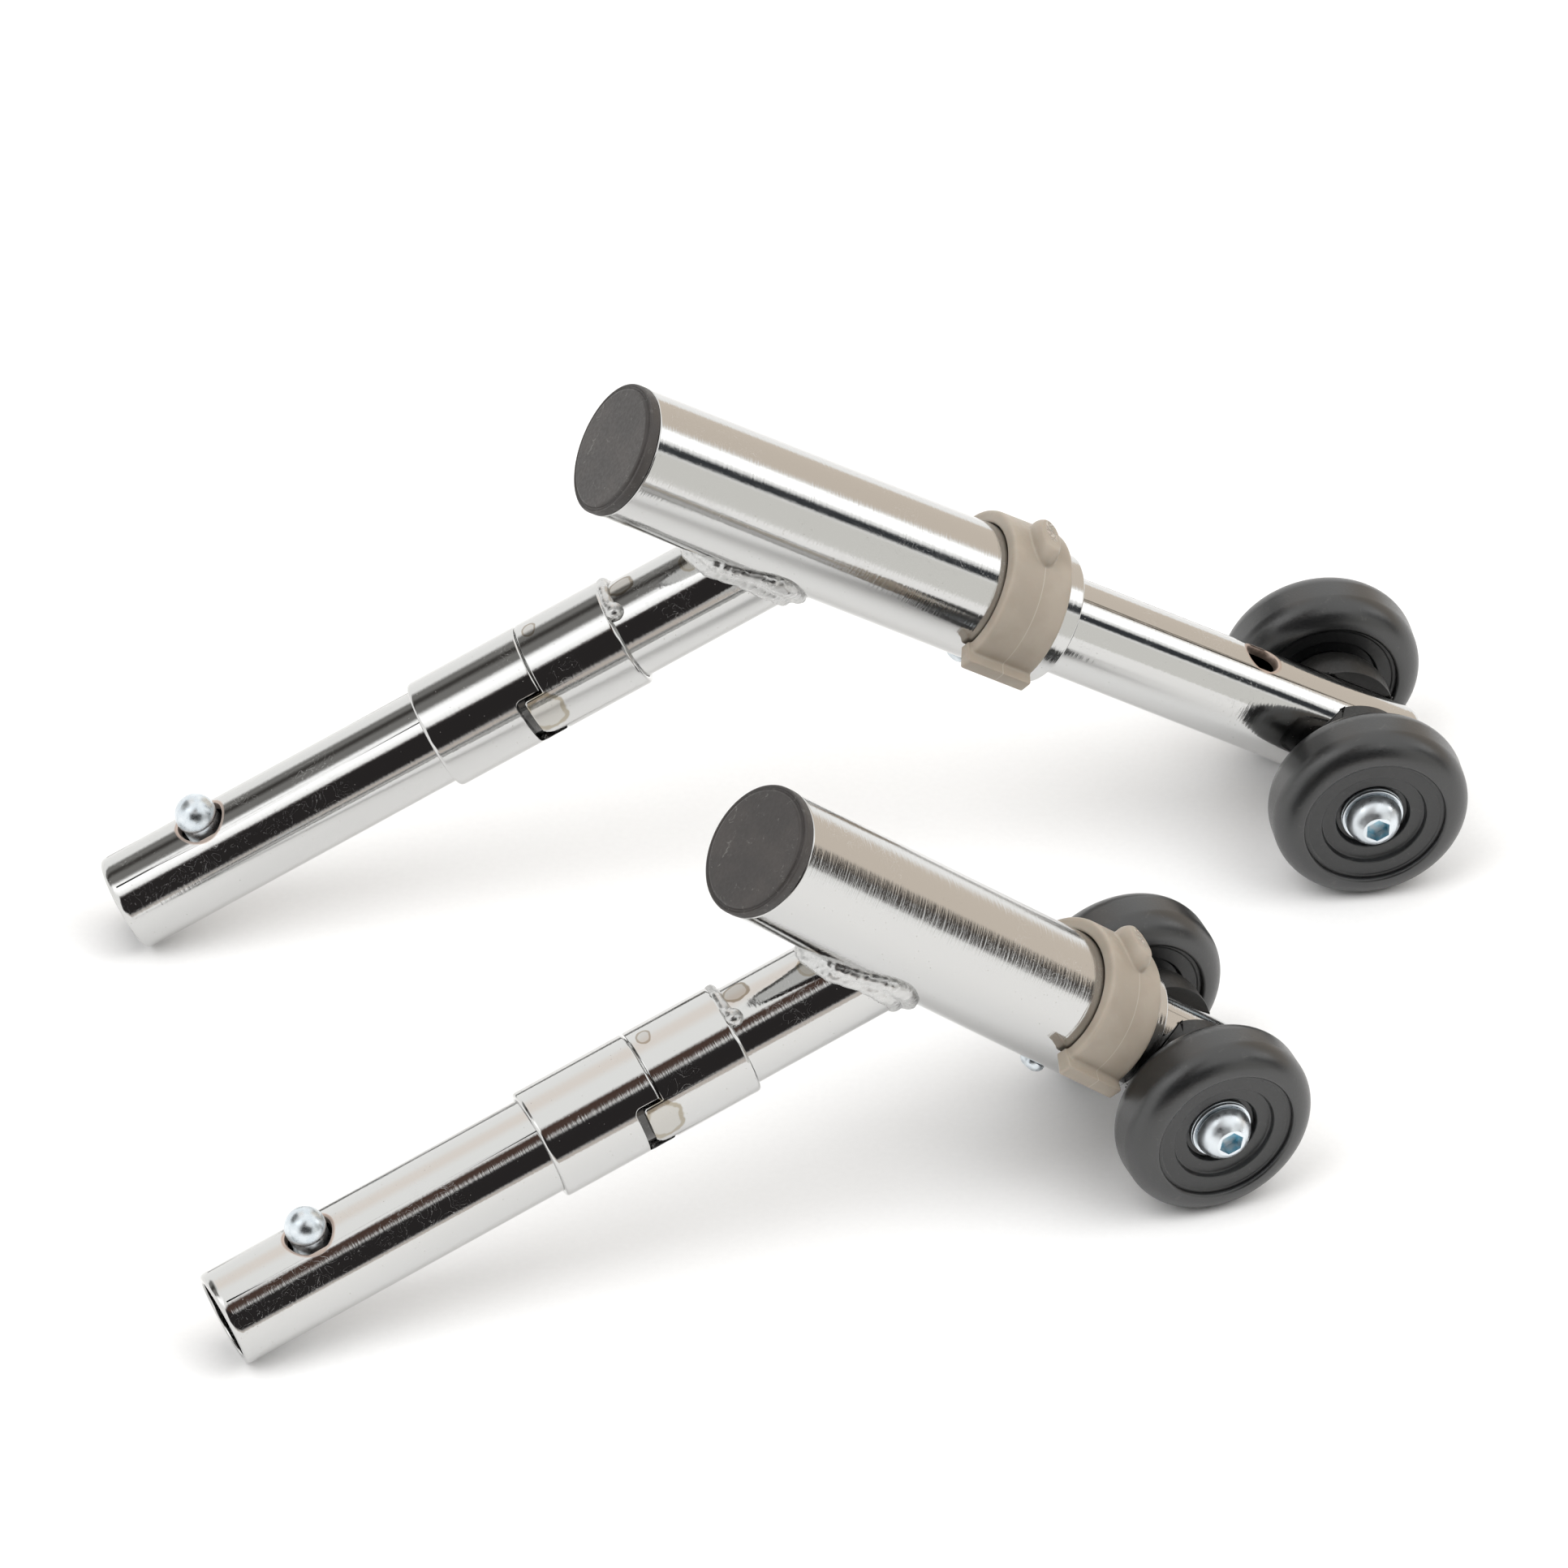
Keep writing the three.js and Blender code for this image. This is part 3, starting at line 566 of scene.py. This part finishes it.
tab_start = INDEXED[0] - TAB["length"]
indexed_sleeve = turned(softened([(tab_start, SLEEVE_BORE), (tab_start, SLEEVE_R, 0.5),
                                  (INDEXED[1], SLEEVE_R, 0.9), (INDEXED[1], SLEEVE_BORE)], 0.45))
waste_length = TAB["length"] + 2
waste = to_bench(bpy.ops.mesh.primitive_cube_add, size=MM, scale=(waste_length, 40, 40),
                 location=((INDEXED[0] - waste_length / 2) * MM, 0, 0))
cut(waste, side_block(tab_start, INDEXED[0] + 3, TAB["low"], TAB["high"], 3.8, 0.9))
cut(indexed_sleeve, waste)
ease_edges(indexed_sleeve, SLEEVE_EDGE, lambda p: p.x < INDEXED[0] + 0.2)
finish_bench(indexed_sleeve, sleeve_chrome)
fit_both(indexed_sleeve, "indexed_sleeve", spigot_at)

# ---- The stub tube
# The same tube as the spigot, from inside the joint to the fat tube. Its end is cut to a saddle and welded
# on. Rinse marks sit on top of it, and a near-black patch of painted shade darkens it where it shows
# through the notch round the tab.
TUBES_ANGLE = math.radians(60.5)
OUTER_R = 15
STUB_START = 89


def leg_bar(radius):
    """A bar along the leg, in the spigot's frame, to cut a saddle with."""
    bar = to_bench(bpy.ops.mesh.primitive_cylinder_add, vertices=160, radius=radius * MM, depth=160 * MM,
                   rotation=(0, math.pi / 2, 0))
    bar.data.transform(Matrix.Translation((CROSSING * MM, 0, 0)) @ Matrix.Rotation(TUBES_ANGLE, 4, "Y"))
    return bar


stub_chrome = bright_chrome("bright_chrome_stub", stains_and_shade=[
    ((132.0, 1.2, 11.0), (3.1, 2.8, 3.4), "#776b59", 0.45),
    ((148.6, -2.4, 10.8), (2.6, 2.6, 2.6), "#a39a8a", 0.5),
    # painted shade: a near-black patch on the stub where it shows through the notch and the gaps round the tab
    ((103.0, -11.0, -1.0), (5.0, 5.0, 10.0), "#15120f", 0.85),
])
stub = turned(softened([(STUB_START, TUBE_BORE), (STUB_START, TUBE_R), (CROSSING, TUBE_R),
                        (CROSSING, TUBE_BORE)], 0.3))
cut(stub, leg_bar(OUTER_R + 0.05))
finish_bench(stub, stub_chrome)
fit_both(stub, "stub_tube", spigot_at)

# ---- The welds
# Hand-laid beads, plated over with the tubes: one round the saddle, and one on part of the second sleeve's
# end that ends in a shiny blob. Each is made of overlapping drops, melted together, with a faint ripple.


def bead(drops, voxel, melt, ripple):
    """Drops of (centre in mm, radius in mm), melted into one lumpy bead."""
    bpy.ops.object.select_all(action="DESELECT")
    made = []
    for centre, radius in drops:
        bpy.ops.mesh.primitive_ico_sphere_add(subdivisions=3, radius=radius * MM, location=centre * MM)
        made.append(bpy.context.active_object)
    for drop in made:
        drop.select_set(True)
    bpy.context.view_layer.objects.active = made[0]
    bpy.ops.object.join()
    bpy.ops.object.transform_apply(location=True, rotation=True, scale=True)
    joined = made[0]
    apply_modifier(joined, "REMESH", mode="VOXEL", voxel_size=voxel * MM, use_smooth_shade=True)
    apply_modifier(joined, "SMOOTH", factor=0.6, iterations=melt)
    ripples = bpy.data.textures.new("weld_ripple", "CLOUDS")
    ripples.noise_scale = 2.2 * MM
    apply_modifier(joined, "DISPLACE", texture=ripples, strength=ripple * MM, mid_level=0.5,
                   texture_coords="LOCAL")
    apply_modifier(joined, "SMOOTH", factor=0.5, iterations=2)
    return joined


def weld_chrome():
    """Chrome plate over weld metal: duller than on the tube, with dark pin-holes and flux marks."""
    material = bright_chrome("plated_weld", roughness=0.32)
    tree = material.node_tree
    shader = tree.nodes["Principled BSDF"]
    place = add_node(tree, "ShaderNodeAttribute", attribute_name="bench").outputs["Vector"]
    pits = noise(tree, place, 0.55, detail=5.0, roughness=0.65)
    burnt = smooth_step(tree, pits, 0.34, 0.29)
    clean = shader.inputs["Base Color"].links[0].from_socket
    tree.links.new(mixed(tree, burnt, clean, linear("#2e2926")), shader.inputs["Base Color"])
    return material


plated_weld = weld_chrome()
saddle_drops = []
SADDLE_STEPS = 44
for i in range(SADDLE_STEPS):
    turn = 2 * math.pi * i / SADDLE_STEPS
    swell = 0.2 * math.sin(7 * turn) + 0.3 * math.sin(3 * turn + 1)
    for back, out, size in ((0, TUBE_R + 0.2, 2.1), (2.4, TUBE_R - 0.9, 2.0)):
        y, z = out * math.sin(turn), out * math.cos(turn)
        depth = math.sqrt((OUTER_R + 0.2) ** 2 - y * y)
        x = CROSSING - depth / math.sin(TUBES_ANGLE) - z / math.tan(TUBES_ANGLE)
        saddle_drops.append((Vector((x - back, y, z)), size + swell + 0.35 * math.cos(turn)))
saddle_weld = bead(saddle_drops, 0.3, 24, 0.5)
finish_bench(saddle_weld, plated_weld, 80)
fit_both(saddle_weld, "saddle_weld", spigot_at)

sleeve_drops = []


def sleeve_drop(past_end, out, turn, size):
    """Lays a drop past the second sleeve's end, turned from the top to the near side by some degrees."""
    near, rise = math.sin(math.radians(turn)), math.cos(math.radians(turn))
    sleeve_drops.append((Vector((INDEXED[1] + past_end, -out * near, out * rise)), size))


for i in range(34):
    sleeve_drop(0.5, TUBE_R + 0.35, -70 + 2.8 * i, 1.4 + 0.12 * math.sin(i * 0.7))
sleeve_drop(1.2, TUBE_R, 25, 2.3)
sleeve_weld = bead(sleeve_drops, 0.22, 12, 0.3)
finish_bench(sleeve_weld, plated_weld, 80)
fit_both(sleeve_weld, "sleeve_weld", spigot_at)

# ---- The fat tube
# Chromed steel tube, 30 mm outside and 1.5 mm thick, across the end of the stub. It is drilled on top for the
# clip's peg and underneath for the rivet of the guide bush.
OUTER_BORE = 13.5
OUTER_START = -51.9
OUTER_END = 62.3
PEG_X = 49
PEG_HOLE = 4.15
RIVET_X = 49
RIVET_HOLE = 2.3
outer_chrome = bright_chrome("bright_chrome_fat_tube", roughness=0.08, polishing=0.6)
outer = turned(softened([(OUTER_START, OUTER_BORE), (OUTER_START, OUTER_R), (OUTER_END, OUTER_R, 0.55),
                         (OUTER_END, OUTER_BORE)], 0.4))
cut(outer, upright_bar(PEG_X, PEG_HOLE, 0, 30))
cut(outer, upright_bar(RIVET_X, RIVET_HOLE, -30, 0))
finish_bench(outer, outer_chrome)
fit_both(outer, "outer_tube", leg_at)

# ---- The guide bush and its rivet
# A black nylon liner that guides the sliding leg, held by one domed zinc rivet under the fat tube.


def moulded(name, dark, light, roughness, grain_mm, scuffs=0.3, relief=0.02, scuff_colour="#8c8a86",
            gloss=0.5):
    """Moulded plastic: an even tone, a fine spark-eroded grain, a few pale scuffs and specks of dust."""
    material = bpy.data.materials.new(name)
    material.use_nodes = True
    tree = material.node_tree
    shader = tree.nodes["Principled BSDF"]
    place = add_node(tree, "ShaderNodeAttribute", attribute_name="bench").outputs["Vector"]
    tone = noise(tree, place, 0.12, detail=3.0)
    colour = mixed(tree, smooth_step(tree, tone, 0.35, 0.65), linear(dark), linear(light))
    smear = noise(tree, place, 0.35, detail=8.0, roughness=0.7, distortion=1.5)
    scuff = maths(tree, "MULTIPLY", smooth_step(tree, smear, 0.58, 0.68), scuffs)
    cells = add_node(tree, "ShaderNodeTexVoronoi", {"Vector": place, "Scale": 0.45}).outputs
    picked = add_node(tree, "ShaderNodeSeparateColor", {0: cells["Color"]}).outputs["Red"]
    dust = maths(tree, "MULTIPLY", smooth_step(tree, cells["Distance"], 0.07, 0.03),
                 maths(tree, "GREATER_THAN", picked, 0.7))
    colour = mixed(tree, maths(tree, "MAXIMUM", scuff, maths(tree, "MULTIPLY", dust, scuffs)), colour,
                   linear(scuff_colour))
    grain = noise(tree, place, 1 / grain_mm, detail=2.0)
    rough = smooth_step(tree, grain, 0.3, 0.7, roughness * 0.88, roughness * 1.1)
    bump = add_node(tree, "ShaderNodeBump", {"Height": grain, "Strength": 1.0, "Distance": relief * MM})
    tree.links.new(colour, shader.inputs["Base Color"])
    tree.links.new(rough, shader.inputs["Roughness"])
    tree.links.new(bump.outputs[0], shader.inputs["Normal"])
    shader.inputs["IOR"].default_value = 1.5
    shader.inputs["Specular IOR Level"].default_value = gloss
    return material


bush_nylon = moulded("black_nylon_bush", "#141414", "#1a1a1a", 0.45, 0.5)
BUSH = {"start": 22, "end": 61, "bore": 11.4, "radius": 13.3}
bush = turned(softened([(BUSH["start"], BUSH["bore"]), (BUSH["start"], BUSH["radius"]),
                        (BUSH["end"], BUSH["radius"]), (BUSH["end"], BUSH["bore"])], 0.4), 128)
cut(bush, upright_bar(PEG_X, PEG_HOLE, 0, 30))
cut(bush, upright_bar(RIVET_X, RIVET_HOLE, -30, 0))
finish_bench(bush, bush_nylon)
fit_both(bush, "guide_bush", leg_at)

SHANK_R = 2.0
rivet = turned([(11.6, 0), (11.6, SHANK_R), (15.2, SHANK_R), (15.2, 2.9)] + arc(15.5, 0.9, 2.2, 75, 25, 6)
               + [(17.55, 1.2), (17.7, 0)], 64)
rivet.data.transform(Matrix.Translation((RIVET_X * MM, 0, 0)) @ Matrix.Rotation(math.pi / 2, 4, "Y"))
finish_bench(rivet, zinc)
fit_both(rivet, "bush_rivet", leg_at)

# ---- The end cap
# A moulded plug in the fat tube's open end: a flat disc in a shallow groove, and a rim that hides the tube's
# edge. Dark grey-brown polyethylene, rubbed pale in places, pushed in by hand.
CAP_FACE = -54.8
cap_plastic = moulded("grey_polyethylene_cap", "#33302f", "#3b3735", 0.5, 0.9, 0.6, 0.05, "#74736f")
CAP_R = OUTER_R + 0.05
PLUG_END = OUTER_START + 12
cap_face = [(CAP_FACE, 0, 0), (CAP_FACE, 13.6, 0.5), (CAP_FACE + 0.75, 13.9, 0.2),
            (CAP_FACE + 0.7, 14.3, 0.2), (CAP_FACE + 0.35, 14.6, 0.3), (CAP_FACE + 0.6, CAP_R, 0.5)]
cap_plug = [(OUTER_START - 0.15, CAP_R, 0.3), (OUTER_START - 0.15, 13.2, 0.1), (PLUG_END, 12.6, 0.4),
            (PLUG_END, 11.2, 0.3), (OUTER_START, 11.3, 0.3), (OUTER_START, 0, 0)]
cap = turned(softened(cap_face + cap_plug, 0.2), 160)
finish_bench(cap, cap_plastic)
fit_both(cap, "end_cap", leg_at)

# ---- The height clip
# An open ring of beige nylon, snapped over the fat tube, with a peg that locks the leg. It has a thumb lip at
# one end, and a lozenge boss over the peg with the rough pale mark of the sprue. A parting line runs round.
CLIP = (41, 57)
CLIP_BORE = 15.2
CLIP_R = 18.2
CLIP_ENDS = (-112, 113)


def swept(corners, start, end, steps):
    """Sweeps a closed profile of (x, radius) round X, between two angles from the top to the near side."""
    plane = to_bench(bpy.ops.mesh.primitive_circle_add, vertices=len(corners), radius=MM, fill_type="NGON")
    for vertex, (x, radius) in zip(plane.data.vertices, corners):
        vertex.co = Vector((x * MM, 0, radius * MM))
    plane.data.transform(Matrix.Rotation(math.radians(start), 4, "X"))
    bpy.ops.object.mode_set(mode="EDIT")
    bpy.ops.mesh.select_all(action="SELECT")
    bpy.ops.mesh.spin(steps=steps, angle=math.radians(start - end), center=(0, 0, 0), axis=(1, 0, 0))
    bpy.ops.mesh.select_all(action="SELECT")
    bpy.ops.mesh.normals_make_consistent(inside=False)
    bpy.ops.object.mode_set(mode="OBJECT")
    return plane


def clip_nylon():
    """Beige nylon, semi-matt, that lets a little light in, with a pale sprue scar and a thin parting line."""
    material = moulded("beige_nylon", "#978d80", "#9f9588", 0.42, 1.2, 0.10, 0.02, "#b5ada2")
    tree = material.node_tree
    shader = tree.nodes["Principled BSDF"]
    place = add_node(tree, "ShaderNodeAttribute", attribute_name="bench").outputs["Vector"]
    spot = add_node(tree, "ShaderNodeSeparateXYZ", {0: place}).outputs
    out = vector_maths(tree, "MULTIPLY", place, (0, 1, 1))
    radius = vector_maths(tree, "LENGTH", out)
    off_line = maths(tree, "ABSOLUTE", maths(tree, "SUBTRACT", spot["X"], PEG_X + 0.3))
    line = maths(tree, "MULTIPLY", smooth_step(tree, off_line, 0.16, 0.05),
                 smooth_step(tree, radius, 17.8, 18.0))
    line = maths(tree, "MULTIPLY", line, smooth_step(tree, spot["Z"], 16.6, 16.2))
    scar_at = vector_maths(tree, "SUBTRACT", place, (PEG_X + 0.6, -0.6, 21))
    scar_size = vector_maths(tree, "DIVIDE", scar_at, (1.5, 4.2, 3))
    away = vector_maths(tree, "LENGTH", scar_size)
    torn = noise(tree, place, 0.7, detail=8.0, distortion=2.0)
    scar = maths(tree, "MULTIPLY", smooth_step(tree, away, 1.1, 0.5), smooth_step(tree, torn, 0.42, 0.62))
    colour = shader.inputs["Base Color"].links[0].from_socket
    colour = mixed(tree, maths(tree, "MULTIPLY", line, 0.5), colour, linear("#bbb3a9"))
    colour = mixed(tree, maths(tree, "MULTIPLY", scar, 0.75), colour, linear("#cfc8be"))
    height = maths(tree, "MULTIPLY", scar, torn)
    bump = shader.inputs["Normal"].links[0].from_node
    rough_top = add_node(tree, "ShaderNodeBump",
                         {"Height": height, "Strength": 1.0, "Distance": 0.5 * MM, "Normal": bump.outputs[0]})
    tree.links.new(colour, shader.inputs["Base Color"])
    tree.links.new(rough_top.outputs[0], shader.inputs["Normal"])
    shader.inputs["Subsurface Weight"].default_value = 0.12
    shader.inputs["Subsurface Scale"].default_value = 0.8 * MM
    return material


ring_profile = softened([(CLIP[0], CLIP_BORE, 0.5), (CLIP[0], CLIP_R, 1.1), (CLIP[1], CLIP_R, 1.1),
                         (CLIP[1], CLIP_BORE, 0.5)], 0.5, 4)
clip = swept(ring_profile, *CLIP_ENDS, 96)
LIP = (CLIP[0] - 0.9, CLIP[1] - 0.2)
LIP_BORE = CLIP_BORE + 0.2
LIP_R = CLIP_R + 2.7
lip_profile = softened([(LIP[0], LIP_BORE), (LIP[0], LIP_R), (LIP[1], LIP_R), (LIP[1], LIP_BORE)], 0.7, 4)
lip = swept(lip_profile, 106, 115.5, 8)
boss = to_bench(bpy.ops.mesh.primitive_uv_sphere_add, segments=48, ring_count=24, radius=MM,
                scale=(3.3, 6.8, 5.0), location=((PEG_X + 0.3) * MM, -1.3 * MM, 17.6 * MM))
worn_top = to_bench(bpy.ops.mesh.primitive_cube_add, size=MM, scale=(20, 20, 4), rotation=(0.09, 0.05, 0),
                    location=(PEG_X * MM, 0, 23.3 * MM))
cut(boss, worn_top)
boss_core = to_bench(bpy.ops.mesh.primitive_cylinder_add, vertices=160, radius=(CLIP_R - 1) * MM,
                     depth=20 * MM, location=(PEG_X * MM, 0, 0), rotation=(0, math.pi / 2, 0))
cut(boss, boss_core)
peg = upright_bar(PEG_X, 3.7, 13.7, 17)
bpy.ops.object.select_all(action="DESELECT")
for part in (clip, lip, boss, peg):
    part.select_set(True)
bpy.context.view_layer.objects.active = clip
bpy.ops.object.join()
apply_modifier(clip, "REMESH", mode="VOXEL", voxel_size=0.25 * MM, use_smooth_shade=True)
apply_modifier(clip, "SMOOTH", factor=0.5, iterations=2)
finish_bench(clip, clip_nylon(), 80)
fit_both(clip, "height_clip", leg_at)

# ---- The sliding leg
# The same chromed 22.2 mm tube, with two peg holes on top, a hole across for the axle and a rolled end. It
# slides in the guide bush.
LEG_END = 13.5
LEG_START = -111.5
HOLES = (-29.3, -94.3)
HOLE_R = 3.95
BARREL_R = 5.0
leg_chrome = bright_chrome("bright_chrome_leg", rims=[(x, 1, HOLE_R) for x in HOLES], polishing=0.35)
leg = turned(softened([(LEG_START, TUBE_BORE), (LEG_START, TUBE_R), (LEG_END, TUBE_R, ROLLED_END),
                       (LEG_END, TUBE_BORE, 0.5)], 0.3, 5))
for x in HOLES:
    cut(leg, upright_bar(x, HOLE_R, 0, 30))
ease_edges(leg, HOLE_FLARE, lambda p: p.x < -20 and abs(p.y) < HOLE_R + 0.3 and p.z > TUBE_BORE)
axle_hole = to_bench(bpy.ops.mesh.primitive_cylinder_add, vertices=64, radius=(BARREL_R + 0.2) * MM,
                     depth=60 * MM, rotation=(math.pi / 2, 0, 0))
cut(leg, axle_hole)
finish_bench(leg, leg_chrome)
fit_both(leg, "leg_tube", axle_at)

# ---- The axle
# A steel barrel through the leg, tapped at both ends. It carries on each side a moulded spacer, a wheel, a
# zinc washer and a button-head screw, so all of it is made along the axle, from the unit's middle outwards.
BARREL_END = 27.8
THREAD_R = 3
barrel = turned(softened([(-BARREL_END, THREAD_R), (-BARREL_END, BARREL_R), (BARREL_END, BARREL_R),
                          (BARREL_END, THREAD_R)], 0.3), 96)
barrel.data.transform(Matrix.Rotation(math.pi / 2, 4, "Z"))
finish_bench(barrel, zinc)
fit_both(barrel, "axle_barrel", axle_at)

SPACER_START = 6
SPACER_END = 18.8
SPACER_BORE = 5.3
SPACER_R = 12.8
spacer_nylon = moulded("black_nylon_spacer", "#141413", "#1b1a1a", 0.42, 0.8, 0.25, 0.03, "#4c4a48")
spacer_profile = softened([(SPACER_START, SPACER_BORE, 0.2), (SPACER_START, SPACER_R, 0.2),
                           (13.2, SPACER_R, 3.8), (SPACER_END, 8.6, 1.6), (SPACER_END, SPACER_BORE, 0.3)],
                          0.3, 6)
spacer = turned(spacer_profile, 128)
saddle = to_bench(bpy.ops.mesh.primitive_cylinder_add, vertices=160, radius=(TUBE_R + 0.15) * MM,
                  depth=60 * MM, rotation=(math.pi / 2, 0, 0))
cut(spacer, saddle)
ease_edges(spacer, 0.5, lambda p: math.hypot(p.y, p.z) > SPACER_R - 0.4 and p.x < 11.5)
finish_bench(spacer, spacer_nylon)
fit_sides(spacer, "spacer")

# ---- The wheels
# Each is a moulded black nylon hub with stepped faces, in a round-shouldered polyurethane tyre moulded on it.
# The satin skin shows a soft, grainy highlight. The wheel turns freely on the axle's barrel.
WHEEL_X = 24.5
HUB_R = 16.2
WHEEL_R = 22.1
HALF_WIDTH = 7.8


def both_faces(half):
    """A wheel's profile, from its half on the outer side."""
    whole = [(-x, *rest) for x, *rest in reversed(half)] + list(half)
    return [(x + WHEEL_X, *rest) for x, *rest in whole]


hub_nylon = moulded("black_nylon_hub", "#121314", "#161718", 0.38, 0.7, 0.3, 0.02, "#55534f", 0.75)
hub_half = [(6.7, HUB_R, 0.25), (6.7, 15.2, 0.1), (6.5, 14.9, 0.1), (6.5, 11.9, 0.25), (5.2, 11.6, 0.3),
            (5.2, 8.4, 0.3), (3.4, 8.1, 0.3), (3.4, 5.1, 0.2)]
hub = turned(softened(both_faces(hub_half), 0.2), 144)
finish_bench(hub, hub_nylon)
fit_sides(hub, "wheel_hub")

tyre_rubber = moulded("black_polyurethane_tyre", "#101112", "#141516", 0.32, 0.45, 0.2, 0.02, "#55534f", 0.95)
SHOULDER_R = 5.9
shoulder = arc(HALF_WIDTH - SHOULDER_R, WHEEL_R - SHOULDER_R, SHOULDER_R, 88, 4, 18)
tyre_lip = [(HALF_WIDTH, 16.35), (HALF_WIDTH - 0.35, 15.95), (HALF_WIDTH - 1.0, 15.9),
            (HALF_WIDTH - 1.2, HUB_R + 0.05)]
tyre = turned(softened(both_faces([(0.0, WHEEL_R), *shoulder, *tyre_lip]), 0), 160)
finish_bench(tyre, tyre_rubber, 50)
fit_sides(tyre, "tyre")

# ---- Washer and screw
# Bright zinc plated steel, screwed into the axle's barrel: two thin rings under a tall domed head with a
# hexagon socket, whose facets show the blue of the passivation.
WASHER = (28.1, 29.6)
WASHER_BORE = 3.2
WASHER_R = 7.0
washer_profile = softened([(WASHER[0], WASHER_BORE), (WASHER[0], WASHER_R), (28.75, WASHER_R),
                           (28.8, WASHER_R - 0.25, 0.05), (28.85, WASHER_R - 0.1),
                           (WASHER[1], WASHER_R - 0.1), (WASHER[1], WASHER_BORE)], 0.15)
washer = turned(washer_profile, 96)
finish_bench(washer, screw_zinc)
fit_sides(washer, "washer")

SEAT = 29.8
SCREW_R = 2.8
SCREW_LENGTH = 12
SOCKET_R = 2.9
SOCKET_FLOOR = SEAT + 2.4
SOCKET_CUTTER = 8
shank = [(SEAT - SCREW_LENGTH, 0, 0), (SEAT - SCREW_LENGTH, SCREW_R, 0.4), (SEAT, SCREW_R, 0.1)]
head = [(SEAT, 6.0, 0.3), (SEAT + 0.4, 6.3, 0.3)]
head += [(x, radius, 0) for x, radius in arc(SEAT, 0.85, 5.45, 84, 30, 14)]
head += [(SEAT + 4.95, 3.3, 0.2), (SEAT + 5.15, 0, 0)]
screw = turned(softened(shank + head, 0.2), 96)
socket = to_bench(bpy.ops.mesh.primitive_cylinder_add, vertices=6, radius=SOCKET_R * MM,
                  depth=SOCKET_CUTTER * MM, location=((SOCKET_FLOOR + SOCKET_CUTTER / 2) * MM, 0, 0),
                  rotation=(0, math.pi / 2, 0))
cut(screw, socket)
blue_socket = zinc_plate("blue_zinc_socket", 0.45, "#9ccbdc")
finish_bench(screw, screw_zinc, 30)
screw.data.materials.append(blue_socket)
for face in screw.data.polygons:
    middle = face.center / MM
    off_axis = math.hypot(middle.y, middle.z)
    on_a_facet = (off_axis < SOCKET_R - 0.01 and SOCKET_FLOOR - 0.1 < middle.x < SEAT + 5.05
                  and abs(face.normal.x) < 0.9)
    on_the_floor = abs(middle.x - SOCKET_FLOOR) < 0.05 and off_axis < 2.5
    if on_a_facet or on_the_floor:
        face.material_index = 1
fit_sides(screw, "screw")
